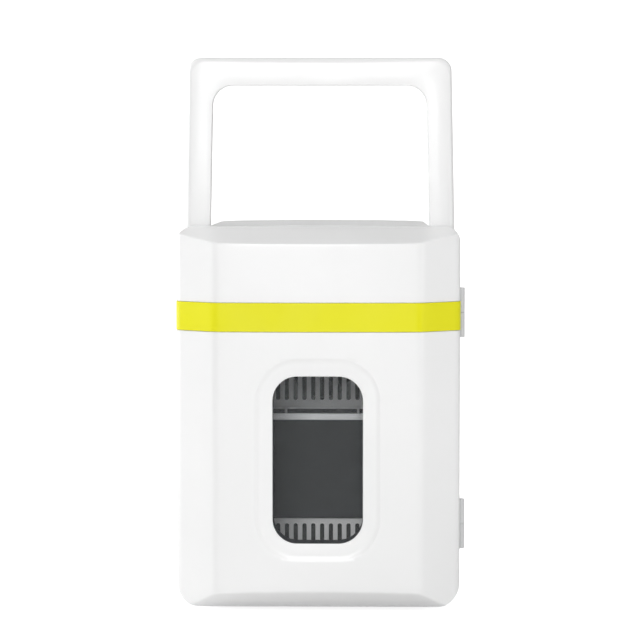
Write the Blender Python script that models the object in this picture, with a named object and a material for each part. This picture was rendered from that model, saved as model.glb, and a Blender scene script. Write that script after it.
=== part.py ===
"""A small thermoelectric fridge: insulated cabinet, hinged door with a window, folding carry handle.

Metres, +Z up. The origin is on the floor, under the middle of the body. The door faces -Y and hangs
on the +X side. Run it with blender --background --python part.py, or from Blender's text editor.
"""

import math

import bmesh
import bpy
from mathutils import Matrix, Vector

# Overall sizes
BODY_WIDTH = 0.250
BODY_DEPTH = 0.290
BODY_TOP = 0.3395
HANDLE_TOP = 0.490

# Walls and clearances
FOOT_HEIGHT = 0.005
WALL = 0.0025
LINER_WALL = 0.0016
TOUCH_GAP = 0.0003
SLIDE_GAP = 0.0015

# Outline of the body, seen from the front
TOP_CORNER = 0.012
BASE_CORNER = 0.020
CROWN_RISE = 0.0015

# Door
DOOR_DEPTH = 0.048
SEAL_GAP = 0.004
FACET_WIDTH = 0.035
FRONT_SAG = 0.0025
FACET_DEPTH = 0.0275
FACET_FRONT_RADIUS = 0.015
FACET_SIDE_RADIUS = 0.020
BROW_DROP = 0.0135
RIDGE_LAND = 0.002
DISH_LEAD = 0.0001
TOE_HEIGHT = 0.016
TOE_DEPTH = 0.022
LINER_PLATE = 0.002

# Trim band round the door
BAND_TOP_BELOW_BODY_TOP = 0.0649
BAND_HEIGHT = 0.0252
BAND_THICKNESS = 0.0014
BAND_PROUD = 0.0005
BAND_END_GAP = 0.007
GROOVE_OVERRUN = 0.002

# Window
WINDOW_WIDTH = 0.079
WINDOW_HEIGHT = 0.1467
WINDOW_CENTRE_ABOVE_FLOOR = 0.137
WINDOW_CORNER = 0.0215
DISH_MARGIN = 0.015
DISH_DEPTH = 0.0012
PANE_THICKNESS = 0.002
PANE_OVERLAP = 0.008
PANE_SPACING = 0.0217
COLLAR_MARGIN = 0.004
GRIP_HEIGHT = 0.070
GRIP_RADIUS = 0.010
GRIP_CENTRE = 0.175

# Door seal
SEAL_WIDTH = 0.006
SEAL_MARGIN = 0.002

# Hinges
HINGE_LENGTH = 0.044
HINGE_BARREL_RADIUS = 0.0045
HINGE_PIN_RADIUS = 0.0016
HINGE_NOTCH_GAP = 0.0007
HINGE_UPPER_BELOW_BODY_TOP = 0.0756
HINGE_LOWER_ABOVE_FLOOR = 0.0757
LEAF_WIDTH = 0.0138
LEAF_THICKNESS = 0.0013
LEAF_SCREW_SPACING = 0.028
LEAF_SCREW_LENGTH = 0.007
LEAF_SCREW_RADIUS = 0.0012
LEAF_SCREW_HEAD = 0.0023
LEAF_SCREW_TIP = 0.001
LEAF_SCREW_SINK = 0.0001
HINGE_PIN_INSET = 0.002

# Cabinet
SIDE_INSULATION = 0.026
BASE_INSULATION = 0.021
SHOULDER_INSULATION = 0.014
SHOULDER_BELOW_BODY_TOP = 0.0231
MACHINE_DEPTH = 0.053
CAVITY_CORNER = 0.012
FLANGE_THICKNESS = 0.002
FOAM_BACK_THICKNESS = 0.0126
BOSS_SIZE = 0.024
BOSS_LENGTH = 0.030
FLANGE_OVERLAP = 0.001

# Carry handle
HANDLE_THICKNESS = 0.016
HANDLE_BAR_HEIGHT = 0.025
HANDLE_LEG_WIDTH = 0.023
HANDLE_SIDE_MARGIN = 0.003
HANDLE_TAPER = 0.003
HANDLE_OUTER_RADIUS = 0.012
HANDLE_INNER_RADIUS = 0.018
HANDLE_FOOT_RADIUS = 0.0076
HANDLE_SET_BACK = 0.035
PIVOT_RADIUS = 0.004
PIVOT_HEAD_RADIUS = 0.0065
PIVOT_HEAD_THICKNESS = 0.003
PIVOT_REACH = 0.012

# Air duct on the cavity's back wall
DUCT_DEPTH = 0.025
DUCT_WALL = 0.002
DUCT_HALF_WIDTH = 0.076
SLOT_WIDTH = 0.0040
SLOT_END_RADIUS = 0.0016
SLOT_PITCH = 0.00832
SLOT_COUNT = 17
UPPER_GRILLE_BASE = 0.1333
UPPER_GRILLE_HEIGHT = 0.083
UPPER_SLOT_MARGIN = 0.008
LOWER_GRILLE_HEIGHT = 0.0283
LOWER_SLOT_MARGIN = 0.0046
LIP_REACH = 0.004
LIP_THICKNESS = 0.0016
RAIL_HEIGHT = 0.006
RAIL_GAP = 0.0045
RAIL_REACH = 0.003
POST_RADIUS = 0.0014
POST_HALF_SPACING = 0.034
UPPER_SLOT_TOP_MARGIN = 0.010
LOWER_SLOT_BASE_MARGIN = 0.005
LOWER_GRILLE_LIFT = 0.0005

# Cooling unit
UNIT_CENTRE_Z = 0.106
COLD_SINK_SIZE = 0.060
COLD_SINK_BASE = 0.003
COLD_FIN_LENGTH = 0.010
HOT_SINK_SIZE = 0.090
HOT_SINK_BASE = 0.004
HOT_FIN_LENGTH = 0.0135
FIN_THICKNESS = 0.0012
FIN_PITCH = 0.0055
MODULE_SIZE = 0.040
MODULE_THICKNESS = 0.0038
MODULE_GAP = 0.0006
INNER_FAN_SIZE = 0.060
OUTER_FAN_SIZE = 0.080
FAN_DEPTH = 0.010
FAN_WALL = 0.0015
FAN_CORNER = 0.003
FAN_HUB_SHARE = 0.4
FAN_HUB_CROWN = 0.001
FAN_STRUT_DEPTH = 0.0014
FAN_STRUT_WIDTH = 0.0024
FAN_PIN_RADIUS = 0.0011
FAN_PIN_START = 0.003
FAN_END_GAP = 0.0005
FAN_TIP_GAP = 0.001
FAN_ROOT_SHARE = 0.85
FAN_BLADE_COUNT = 7
BLADE_PITCH = math.radians(38)
BLADE_THICKNESS = 0.0012
INNER_FAN_CENTRE_Z = 0.202
CLAMP_SCREW_RADIUS = 0.0015
CLAMP_SCREW_HALF_SPACING = 0.0255
CLAMP_HEAD_RADIUS = 0.003
CLAMP_HEAD_HEIGHT = 0.0017
CLAMP_SCREW_REACH = 0.003
SINK_HOLE_RADIUS = 0.0034

# Back panel
VENT_LENGTH = 0.072
VENT_WIDTH = 0.0032
VENT_PITCH = 0.007
FAN_VENT_COUNT = 11
TOP_VENT_COUNT = 5
TOP_VENT_CENTRE_Z = 0.240
COVER_SCREW_RADIUS = 0.0015
COVER_SCREW_HEAD_RADIUS = 0.0035
COVER_SCREW_HEAD = 0.0018
COVER_SCREW_LENGTH = 0.014
COVER_SCREW_TIP = 0.002
COVER_SCREW_CLEARANCE = 0.001
COVER_SCREW_INSET = 0.0125
PANEL_ROW_Z = 0.037
AC_INLET_X = -0.066
DC_INLET_X = -0.030
LIGHT_X = 0.028
SWITCH_X = 0.060
INLET_WALL = 0.002
INLET_DEPTH = 0.016
AC_SOCKET = (0.021, 0.012)
AC_SOCKET_CORNER = 0.004
AC_PIN_HALF_SPACING = 0.0042
DC_SOCKET_RADIUS = 0.0055
SOCKET_DEPTH = 0.011
SOCKET_PIN_RADIUS = 0.0012
SOCKET_MOUTH = 0.0056
SOCKET_PIN_ROOT = 0.002
ROCKER_SIZE = (0.016, 0.010)
ROCKER_THROW = 0.0009
ROCKER_PIN_RADIUS = 0.001
ROCKER_AXIS_DEPTH = 0.0045
ROCKER_PIN_OVERHANG = 0.0012
ROCKER_ROOM_DEPTH = 0.005
ROCKER_TIP = 0.0034
ROCKER_DIP = 0.0018
ROCKER_EDGE = 0.0004
ROCKER_KEEL = 0.0022
LIGHT_RADIUS = 0.002
LIGHT_LENGTH = 0.006
LIGHT_SHOULDER = 0.001
LIGHT_PROUD = 0.0004
LIGHT_CROWN_SHARE = 0.6
BOARD_SIZE = (0.150, 0.036)
BOARD_THICKNESS = 0.0016
BOARD_STANDOFF = 0.0015
BOARD_DROP = 0.001
BOARD_BLOCKS = (
    ("transformer", 0.046, 0.024, 0.020, 0.011),
    ("filter", -0.005, 0.014, 0.018, 0.009),
    ("relay", -0.052, 0.018, 0.014, 0.008),
)
CAPACITOR_PLACES = (0.018, 0.028)
CAPACITOR_RADIUS = 0.004
CAPACITOR_LENGTH = 0.010
CAPACITOR_DROP = 0.006

# Shelf and feet
SHELF_THICKNESS = 0.003
SHELF_TOP_Z = 0.213
SHELF_LIP = 0.008
SHELF_FRONT_CLEARANCE = 0.016
SHELF_RIB = 0.004
SHELF_RIB_SHORT = 0.004
FOOT_RADIUS = 0.009
FOOT_SIDE_INSET = 0.035
FOOT_FRONT_INSET = 0.020
FOOT_REAR_INSET = 0.025
FOOT_CHAMFER_SHARE = 0.88
FOOT_CHAMFER_HEIGHT = 0.0015

# Places worked out from the sizes above
HALF_WIDTH = BODY_WIDTH / 2
FRONT_HALF_FLAT = HALF_WIDTH - FACET_WIDTH
FRONT_Y = -BODY_DEPTH / 2
BACK_Y = BODY_DEPTH / 2
DOOR_REAR_Y = FRONT_Y + DOOR_DEPTH
CABINET_FRONT_Y = DOOR_REAR_Y + SEAL_GAP
SHOULDER_Z = BODY_TOP - SHOULDER_BELOW_BODY_TOP
CAVITY_HALF_WIDTH = HALF_WIDTH - WALL - SIDE_INSULATION - LINER_WALL
CAVITY_BASE_Z = FOOT_HEIGHT + WALL + BASE_INSULATION + LINER_WALL
CAVITY_TOP_Z = SHOULDER_Z - WALL - SHOULDER_INSULATION - LINER_WALL
CAVITY_BACK_Y = BACK_Y - MACHINE_DEPTH
GRILLE_Y = CAVITY_BACK_Y - DUCT_DEPTH
HINGE_X = HALF_WIDTH
HINGE_Y = (DOOR_REAR_Y + CABINET_FRONT_Y) / 2
HINGE_CENTRES = {
    "upper": BODY_TOP - HINGE_UPPER_BELOW_BODY_TOP,
    "lower": HINGE_LOWER_ABOVE_FLOOR,
}
HANDLE_Y = CABINET_FRONT_Y + HANDLE_SET_BACK + HANDLE_THICKNESS / 2
PIVOT_Z = SHOULDER_Z + TOUCH_GAP * 2 + HANDLE_THICKNESS / 2
HANDLE_HALF_WIDTH = HALF_WIDTH - HANDLE_SIDE_MARGIN
CROWN_HALF_WIDTH = HANDLE_HALF_WIDTH - HANDLE_LEG_WIDTH - SLIDE_GAP
CROWN_BACK_HALF_WIDTH = CROWN_HALF_WIDTH - HANDLE_TAPER
CROWN_BACK_Y = HANDLE_Y + HANDLE_TOP - HANDLE_BAR_HEIGHT - PIVOT_Z - SLIDE_GAP * 2
FOAM_BACK_Y = CAVITY_BACK_Y + LINER_WALL + TOUCH_GAP + FOAM_BACK_THICKNESS
HOT_BASE_Y = FOAM_BACK_Y + MODULE_THICKNESS + TOUCH_GAP
UPPER_GRILLE_Z = CAVITY_BASE_Z + UPPER_GRILLE_BASE
RAIL_TOP_Z = UPPER_GRILLE_Z - RAIL_GAP
BEYOND = 0.02
CUT_OVERRUN = 0.005
ARC_STEPS = 5
SMOOTH_LIMIT = math.radians(30)


# Shapes and booleans ---------------------------------------------------------------------------


def clear_scene():
    for old in list(bpy.data.objects):
        bpy.data.objects.remove(old, do_unlink=True)


def make_material(name, color, roughness, metallic=0.0, alpha=1.0):
    made = bpy.data.materials.new(name)
    made.use_nodes = True
    shader = made.node_tree.nodes["Principled BSDF"]
    shader.inputs["Base Color"].default_value = (*color, 1.0)
    shader.inputs["Roughness"].default_value = roughness
    shader.inputs["Metallic"].default_value = metallic
    shader.inputs["Alpha"].default_value = alpha
    made.diffuse_color = (*color, alpha)
    return made


def make_object(name, shape, material=None, origin=(0, 0, 0)):
    """An object from a bmesh in world coordinates. With no material it is a helper that isn't rendered."""
    bmesh.ops.recalc_face_normals(shape, faces=shape.faces)
    bmesh.ops.translate(shape, verts=shape.verts, vec=-Vector(origin))
    mesh = bpy.data.meshes.new(name)
    shape.to_mesh(mesh)
    shape.free()
    made = bpy.data.objects.new(name, mesh)
    made.location = origin
    bpy.context.scene.collection.objects.link(made)
    if material is None:
        made.hide_render = True
        made.display_type = "WIRE"
    else:
        mesh.materials.append(material)
        mesh.shade_smooth()
        mesh.set_sharp_from_angle(angle=SMOOTH_LIMIT)
    return made


def combine(target, operation, others):
    for other in others:
        step = target.modifiers.new(operation.lower() + "_" + other.name, "BOOLEAN")
        step.operation = operation
        step.object = other
    return target


def cut(target, *cutters):
    return combine(target, "DIFFERENCE", cutters)


def fuse(target, *pieces):
    return combine(target, "UNION", pieces)


def keep_common(target, *forms):
    return combine(target, "INTERSECT", forms)


def rounded(corners, steps=ARC_STEPS):
    """The outline through (u, v, radius) corners, each corner with a radius turned into an arc."""
    outline = []
    for index, (u, v, radius) in enumerate(corners):
        here = Vector((u, v))
        if radius <= 0:
            outline.append(here)
            continue
        before = Vector(corners[index - 1][:2]) - here
        after = Vector(corners[(index + 1) % len(corners)][:2]) - here
        half = before.angle(after) / 2
        start = here + before.normalized() * (radius / math.tan(half))
        middle = here + (before.normalized() + after.normalized()).normalized() * (radius / math.sin(half))
        turn = (math.pi - 2 * half) * math.copysign(1, before.cross(after))
        for step in range(steps + 1):
            arm = (start - middle).copy()
            arm.rotate(Matrix.Rotation(-turn * step / steps, 2))
            outline.append(middle + arm)
    return outline


def inset_corners(corners, distance):
    """The same (u, v, radius) corners with every side moved inwards. The corners run anticlockwise."""
    lines = []
    for index, corner in enumerate(corners):
        start = Vector(corner[:2])
        along = (Vector(corners[(index + 1) % len(corners)][:2]) - start).normalized()
        lines.append((start + Vector((-along.y, along.x)) * distance, along))
    moved = []
    for index, corner in enumerate(corners):
        (p, d), (q, e) = lines[index - 1], lines[index]
        reach = (q - p).cross(e) / d.cross(e)
        here = p + d * reach
        radius = max(corner[2] - distance, 0.0) if corner[2] else 0.0
        moved.append((here.x, here.y, radius))
    return moved


def rectangle(low, high, radius=0.0, top_radius=None):
    """Anticlockwise corners of a rectangle from low (u, v) to high (u, v)."""
    upper = radius if top_radius is None else top_radius
    return [
        (low[0], low[1], radius),
        (high[0], low[1], radius),
        (high[0], high[1], upper),
        (low[0], high[1], upper),
    ]


def placed(axis, u, v, along):
    """A point from outline coordinates: u and v are X and Z for axis Y, X and Y for Z, Y and Z for X."""
    return {"X": (along, u, v), "Y": (u, along, v), "Z": (u, v, along)}[axis]


def prism(outline, axis, start, end):
    shape = bmesh.new()
    face = shape.faces.new([shape.verts.new(placed(axis, u, v, start)) for u, v in outline])
    swept = bmesh.ops.extrude_face_region(shape, geom=[face])
    moved = [part for part in swept["geom"] if isinstance(part, bmesh.types.BMVert)]
    bmesh.ops.translate(shape, verts=moved, vec=placed(axis, 0, 0, end - start))
    return shape


def loft(rings):
    """A closed shape through rings of points, each ring with the same number, capped at both ends."""
    shape = bmesh.new()
    rows = [[shape.verts.new(point) for point in ring] for ring in rings]
    for near, far in zip(rows, rows[1:]):
        for index in range(len(near)):
            after = (index + 1) % len(near)
            shape.faces.new((near[index], near[after], far[after], far[index]))
    shape.faces.new(rows[0])
    shape.faces.new(rows[-1])
    return shape


def block(low, high):
    return prism(rounded(rectangle(low[:2], high[:2])), "Z", low[2], high[2])


def circle(centre, radius, steps=20):
    turn = 2 * math.pi / steps
    return [
        (centre[0] + radius * math.cos(turn * k), centre[1] + radius * math.sin(turn * k))
        for k in range(steps)
    ]


def turned(centre, axis, profile, steps=16):
    """A solid of revolution: profile is (place along the axis, radius) pairs, from one end to the other."""
    other = {"X": (centre[1], centre[2]), "Y": (centre[0], centre[2]), "Z": (centre[0], centre[1])}[axis]
    rings = [
        [placed(axis, u, v, along) for u, v in circle(other, radius, steps)] for along, radius in profile
    ]
    return loft(rings)


# Outlines that several pieces share -------------------------------------------------------------


def body_outline(inset=0.0, rise=0.0):
    """The body seen from the front, X and Z: a rectangle with round corners and a slightly arched top."""
    half = HALF_WIDTH - inset
    low, high = FOOT_HEIGHT + inset, BODY_TOP - inset
    flat = half - (TOP_CORNER - inset)
    arch = [
        (flat * share, high + rise * (1 - share * share), 0.0)
        for share in (0.9, 0.7, 0.45, 0.2, -0.2, -0.45, -0.7, -0.9)
        if rise
    ]
    bottom, top = BASE_CORNER - inset, TOP_CORNER - inset
    corners = [(-half, low, bottom), (half, low, bottom), (half, high, top), *arch, (-half, high, top)]
    return rounded(corners)


def front_y(x):
    """The door's gently bowed front face, in plan."""
    return FRONT_Y + FRONT_SAG * (x / FRONT_HALF_FLAT) ** 2


def door_plan(inset, rear):
    """The door seen from above, X and Y: a bowed front, two slanted facets and straight sides."""
    side_y = FRONT_Y + FRONT_SAG + FACET_DEPTH
    bow = [FRONT_HALF_FLAT * share for share in (-0.8, -0.55, -0.3, -0.1, 0.1, 0.3, 0.55, 0.8)]
    front = [(x, front_y(x), 0.0) for x in bow]
    corners = [
        (-HALF_WIDTH, side_y, FACET_SIDE_RADIUS),
        (-FRONT_HALF_FLAT, FRONT_Y + FRONT_SAG, FACET_FRONT_RADIUS),
        *front,
        (FRONT_HALF_FLAT, FRONT_Y + FRONT_SAG, FACET_FRONT_RADIUS),
        (HALF_WIDTH, side_y, FACET_SIDE_RADIUS),
        (HALF_WIDTH, rear, 0.0),
        (-HALF_WIDTH, rear, 0.0),
    ]
    return rounded(inset_corners(corners, inset))


def door_side(inset):
    """The door seen from the side, Y and Z: the slanted brow at the top and the slanted toe."""
    land_y = DOOR_REAR_Y - RIDGE_LAND
    brow = BROW_DROP / (land_y - FRONT_Y)
    toe = TOE_HEIGHT / TOE_DEPTH
    front, rear = FRONT_Y - BEYOND, DOOR_REAR_Y + 2 * BEYOND
    heel_y = FRONT_Y + TOE_DEPTH + BEYOND
    corners = [
        (heel_y, FOOT_HEIGHT - BEYOND * toe, 0.0),
        (rear, FOOT_HEIGHT - BEYOND * toe, 0.0),
        (rear, BODY_TOP + brow * (rear - land_y), 0.0),
        (front, BODY_TOP + brow * (front - land_y), 0.0),
        (front, FOOT_HEIGHT + TOE_HEIGHT + BEYOND * toe, 0.0),
    ]
    return rounded(inset_corners(corners, inset))


def door_form(name, inset, rear, material=None):
    """The door's outer form with every face moved inwards by inset, up to the plane Y = rear."""
    whole = (-BEYOND, BODY_TOP + BEYOND)
    made = make_object(name, prism(door_plan(inset, rear + inset), "Z", *whole), material)
    front_view = prism(body_outline(inset), "Y", FRONT_Y - BEYOND, rear + BEYOND)
    side_view = prism(door_side(inset), "X", -HALF_WIDTH - BEYOND, HALF_WIDTH + BEYOND)
    return keep_common(made, make_object(name + "_front_view", front_view),
                       make_object(name + "_side_view", side_view))


def shoulder_outline(inset):
    """What is lowered behind the cabinet's front collar, X and Y: all but the crown between the legs.

    Behind the pivots the crown narrows as the handle's legs do, so that the handle folds down round it.
    """
    wide, back = HALF_WIDTH + BEYOND, BACK_Y + 2 * BEYOND
    front = HANDLE_Y - HANDLE_THICKNESS / 2 - 2 * TOUCH_GAP - inset
    crown, crown_rear = CROWN_HALF_WIDTH - inset, CROWN_BACK_HALF_WIDTH - inset
    crown_back = CROWN_BACK_Y - inset
    straight_end = HANDLE_Y + PIVOT_HEAD_RADIUS + WALL
    corner = HANDLE_INNER_RADIUS + SLIDE_GAP
    return rounded([
        (-wide, front, 0.0),
        (-crown, front, 0.0),
        (-crown, straight_end, 0.0),
        (-crown_rear, crown_back, corner),
        (crown_rear, crown_back, corner),
        (crown, straight_end, 0.0),
        (crown, front, 0.0),
        (wide, front, 0.0),
        (wide, back, 0.0),
        (-wide, back, 0.0),
    ])


def cabinet_form(name, inset, front, back, material=None):
    """The cabinet's outer form with its sides moved inwards by inset, between two planes across Y."""
    made = make_object(name, prism(body_outline(inset, CROWN_RISE), "Y", front, back), material)
    shoulders = prism(shoulder_outline(inset), "Z", SHOULDER_Z - inset, BODY_TOP + BEYOND)
    return cut(made, make_object(name + "_shoulders", shoulders))


def window_outline(margin=0.0):
    half, tall = WINDOW_WIDTH / 2 + margin, WINDOW_HEIGHT / 2 + margin
    middle = WINDOW_CENTRE_ABOVE_FLOOR
    return rounded(rectangle((-half, middle - tall), (half, middle + tall), WINDOW_CORNER + margin))


def cavity_outline(margin=0.0):
    half = CAVITY_HALF_WIDTH + margin
    low, high = CAVITY_BASE_Z - margin, CAVITY_TOP_Z + margin
    return rounded(rectangle((-half, low), (half, high), CAVITY_CORNER + margin))


def hinge_notches(name):
    """One cutter for both hinges: the room their barrels need in the door's and cabinet's edges."""
    reach = HINGE_LENGTH / 2 + TOUCH_GAP
    radius = HINGE_BARREL_RADIUS + HINGE_NOTCH_GAP
    cutters = []
    for place, middle in HINGE_CENTRES.items():
        shape = turned((HINGE_X, HINGE_Y, 0), "Z", [(middle - reach, radius), (middle + reach, radius)], 24)
        cutters.append(make_object(f"{name}_{place}", shape))
    return cutters


def leaf_screw_places():
    """X and Z of the screws in a hinge leaf, with the name each one takes."""
    x = HINGE_X - HINGE_BARREL_RADIUS - HINGE_NOTCH_GAP - LEAF_WIDTH / 2
    for place, middle in HINGE_CENTRES.items():
        for end, side in (("top", 1), ("bottom", -1)):
            yield f"{place}_{end}", x, middle + side * LEAF_SCREW_SPACING / 2


def leaf_screw_holes(name, start, end):
    radius = LEAF_SCREW_RADIUS + TOUCH_GAP
    return [
        make_object(f"{name}_{where}", prism(circle((x, z), radius, 8), "Y", start, end))
        for where, x, z in leaf_screw_places()
    ]


# Door ------------------------------------------------------------------------------------------


def door_shell(paint):
    """The door's white outer shell, open at the back, with the dished window hole and band groove."""
    shell = door_form("door_shell", 0.0, DOOR_REAR_Y, paint)
    hollow = door_form("door_hollow", WALL, DOOR_REAR_Y + BEYOND)
    cut(hollow, make_object("grip_block", block(*grip_block_corners(0.0))))
    hole = prism(window_outline(), "Y", FRONT_Y - BEYOND, DOOR_REAR_Y - BEYOND)
    ends = [(GRIP_CENTRE + side * GRIP_HEIGHT / 2, GRIP_RADIUS) for side in (-1, 1)]
    grip = turned((-HALF_WIDTH, DOOR_REAR_Y, 0), "Z", ends, 40)
    cut(shell, hollow, make_object("window_hole", hole), window_dish(), band_groove(),
        make_object("grip_scoop", grip), *hinge_notches("door_notch"))


def grip_block_corners(margin):
    """The solid corner behind the finger scoop, low and high, grown by margin."""
    half = GRIP_HEIGHT / 2 + WALL + margin
    reach = GRIP_RADIUS + WALL + margin
    low = (-HALF_WIDTH - BEYOND, DOOR_REAR_Y - reach, GRIP_CENTRE - half)
    high = (-HALF_WIDTH + reach, DOOR_REAR_Y + 2 * BEYOND, GRIP_CENTRE + half)
    return low, high


def window_dish():
    """The cutter of the shallow dish round the window: deepest at the hole, nothing at its outer edge."""
    outer = window_outline(DISH_MARGIN)
    rings = [
        [(x, FRONT_Y - BEYOND, z) for x, z in outer],
        [(x, front_y(x) - DISH_LEAD, z) for x, z in outer],
        [(x, FRONT_Y + DISH_DEPTH, z) for x, z in window_outline()],
    ]
    return make_object("window_dish", loft(rings))


def band_levels(margin):
    top = BODY_TOP - BAND_TOP_BELOW_BODY_TOP
    return top - BAND_HEIGHT - margin, top + margin


def band_ring(name, outside, inside, margin, material=None):
    """The strip between two insets of the door's plan, ending short of the door's back edge."""
    low, high = band_levels(margin)
    end = DOOR_REAR_Y - BAND_END_GAP + margin
    ring = make_object(name, prism(door_plan(outside, end + outside), "Z", low, high), material)
    core = prism(door_plan(inside, end + BEYOND), "Z", low - BEYOND, high + BEYOND)
    return cut(ring, make_object(name + "_core", core))


def band_groove():
    return band_ring("band_groove", -GROOVE_OVERRUN, BAND_THICKNESS - BAND_PROUD + TOUCH_GAP, TOUCH_GAP)


def trim_band(lime):
    band_ring("trim_band", -BAND_PROUD, BAND_THICKNESS - BAND_PROUD, 0.0, lime)


def door_liner(plastic):
    """The door's inner panel, with a collar that presses the inner pane against its spacer."""
    front = DOOR_REAR_Y - LINER_PLATE
    pane_rear = inner_pane_rear()
    plate = prism(body_outline(WALL + 2 * TOUCH_GAP), "Y", front, DOOR_REAR_Y)
    liner = make_object("door_liner", plate, plastic)
    collar = prism(window_outline(COLLAR_MARGIN + LINER_WALL), "Y",
                   pane_rear + TOUCH_GAP, DOOR_REAR_Y - LINER_PLATE / 2)
    hole = prism(window_outline(COLLAR_MARGIN), "Y", pane_rear - BEYOND, DOOR_REAR_Y + BEYOND)
    fuse(liner, make_object("liner_collar", collar))
    cut(liner, make_object("liner_window", hole),
        make_object("liner_grip", block(*grip_block_corners(TOUCH_GAP))),
        *hinge_notches("liner_notch"),
        *leaf_screw_holes("liner_screw_hole", front - CUT_OVERRUN, DOOR_REAR_Y + CUT_OVERRUN))


def door_foam(foam):
    """The foam that fills the door between its shell and liner, with room for the window."""
    rear = DOOR_REAR_Y - LINER_PLATE - 2 * TOUCH_GAP
    made = door_form("door_foam", WALL + TOUCH_GAP, rear - WALL - TOUCH_GAP, foam)
    window = prism(window_outline(PANE_OVERLAP + TOUCH_GAP), "Y", FRONT_Y - BEYOND, DOOR_REAR_Y)
    cut(made, make_object("foam_window", window),
        make_object("foam_grip", block(*grip_block_corners(TOUCH_GAP))),
        *leaf_screw_holes("foam_screw_hole", rear - LEAF_SCREW_LENGTH, DOOR_REAR_Y))


def outer_pane_front():
    """Where the outer pane's side edges meet the inner face of the bowed front wall."""
    return front_y(WINDOW_WIDTH / 2 + PANE_OVERLAP) + WALL + TOUCH_GAP


def inner_pane_rear():
    return outer_pane_front() + 2 * PANE_THICKNESS + PANE_SPACING + 2 * TOUCH_GAP


def window_panes(clear, frame_plastic):
    """Two clear panes with a dark spacer frame between them, stacked behind the door's front wall."""
    outline = window_outline(PANE_OVERLAP)
    y = outer_pane_front()
    make_object("outer_pane", prism(outline, "Y", y, y + PANE_THICKNESS), clear)
    y += PANE_THICKNESS + TOUCH_GAP
    spacer = make_object("pane_spacer", prism(outline, "Y", y, y + PANE_SPACING), frame_plastic)
    hole = prism(window_outline(), "Y", y - BEYOND, y + PANE_SPACING + BEYOND)
    cut(spacer, make_object("spacer_hole", hole))
    y += PANE_SPACING + TOUCH_GAP
    make_object("inner_pane", prism(outline, "Y", y, y + PANE_THICKNESS), clear)


def door_gasket(rubber):
    """The seal between the door's liner and the cabinet's flange, all round the cavity."""
    start, end = DOOR_REAR_Y + TOUCH_GAP, CABINET_FRONT_Y - TOUCH_GAP
    outer = prism(cavity_outline(SEAL_MARGIN + SEAL_WIDTH), "Y", start, end)
    hole = prism(cavity_outline(SEAL_MARGIN), "Y", start - BEYOND, end + BEYOND)
    cut(make_object("door_gasket", outer, rubber), make_object("seal_hole", hole))


# Hinges ----------------------------------------------------------------------------------------


def hinge_leaf(name, middle, upward, towards_door, steel):
    """One leaf with its half of the barrel: the door's half is the upper one, the cabinet's the lower."""
    if towards_door:
        near = DOOR_REAR_Y + TOUCH_GAP
        far = near + LEAF_THICKNESS
        surface, deep, outward = far, near, CUT_OVERRUN
    else:
        far = CABINET_FRONT_Y - TOUCH_GAP
        near = far - LEAF_THICKNESS
        surface, deep, outward = near, far, -CUT_OVERRUN
    clear_x = HINGE_X - HINGE_BARREL_RADIUS - HINGE_NOTCH_GAP
    half = HINGE_LENGTH / 2
    split = TOUCH_GAP / 2
    levels = (middle + split, middle + half) if upward else (middle - half, middle - split)
    plate = block((clear_x - LEAF_WIDTH, near, middle - half), (clear_x, far, middle + half))
    leaf = make_object(name, plate, steel)
    tab = block((clear_x - LEAF_WIDTH / 4, near, levels[0]), (HINGE_X, far, levels[1]))
    barrel = turned((HINGE_X, HINGE_Y, 0), "Z", [(level, HINGE_BARREL_RADIUS) for level in levels], 20)
    fuse(leaf, make_object(name + "_tab", tab), make_object(name + "_barrel", barrel))
    reach = half - HINGE_PIN_INSET + TOUCH_GAP
    ends = [(middle + side * reach, HINGE_PIN_RADIUS + TOUCH_GAP) for side in (-1, 1)]
    cut(leaf, make_object(name + "_bore", turned((HINGE_X, HINGE_Y, 0), "Z", ends, 16)))
    for where, x, z in leaf_screw_places():
        if abs(z - middle) < half:
            profile = [
                (deep - outward, LEAF_SCREW_RADIUS + TOUCH_GAP),
                (deep, LEAF_SCREW_RADIUS + TOUCH_GAP),
                (surface, LEAF_SCREW_HEAD + TOUCH_GAP),
                (surface + outward, LEAF_SCREW_HEAD + TOUCH_GAP),
            ]
            cut(leaf, make_object(f"{name}_sink_{where}", turned((x, 0, z), "Y", profile, 10)))


def hinges(steel, bright_steel):
    """Two hinges, each of two leaves on one pin, and the countersunk screws that hold their leaves."""
    for place, middle in HINGE_CENTRES.items():
        hinge_leaf(f"{place}_hinge_door_leaf", middle, True, True, steel)
        hinge_leaf(f"{place}_hinge_cabinet_leaf", middle, False, False, steel)
        reach = HINGE_LENGTH / 2 - HINGE_PIN_INSET
        ends = [(middle + side * reach, HINGE_PIN_RADIUS) for side in (-1, 1)]
        pin = turned((HINGE_X, HINGE_Y, 0), "Z", ends, 16)
        make_object(f"{place}_hinge_pin", pin, bright_steel, origin=(HINGE_X, HINGE_Y, middle))
    door_face = DOOR_REAR_Y + TOUCH_GAP + LEAF_THICKNESS
    cabinet_face = CABINET_FRONT_Y - TOUCH_GAP - LEAF_THICKNESS
    for side, face, inward in (("door", door_face, -1), ("cabinet", cabinet_face, 1)):
        for where, x, z in leaf_screw_places():
            profile = [
                (face + inward * LEAF_SCREW_LENGTH, LEAF_SCREW_RADIUS / 2),
                (face + inward * (LEAF_SCREW_LENGTH - LEAF_SCREW_TIP), LEAF_SCREW_RADIUS),
                (face + inward * LEAF_THICKNESS, LEAF_SCREW_RADIUS),
                (face + inward * LEAF_SCREW_SINK, LEAF_SCREW_HEAD),
            ]
            screw = turned((x, 0, z), "Y", profile, 10)
            make_object(f"{side}_hinge_screw_{where}", screw, bright_steel)


# Cabinet ---------------------------------------------------------------------------------------


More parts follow.
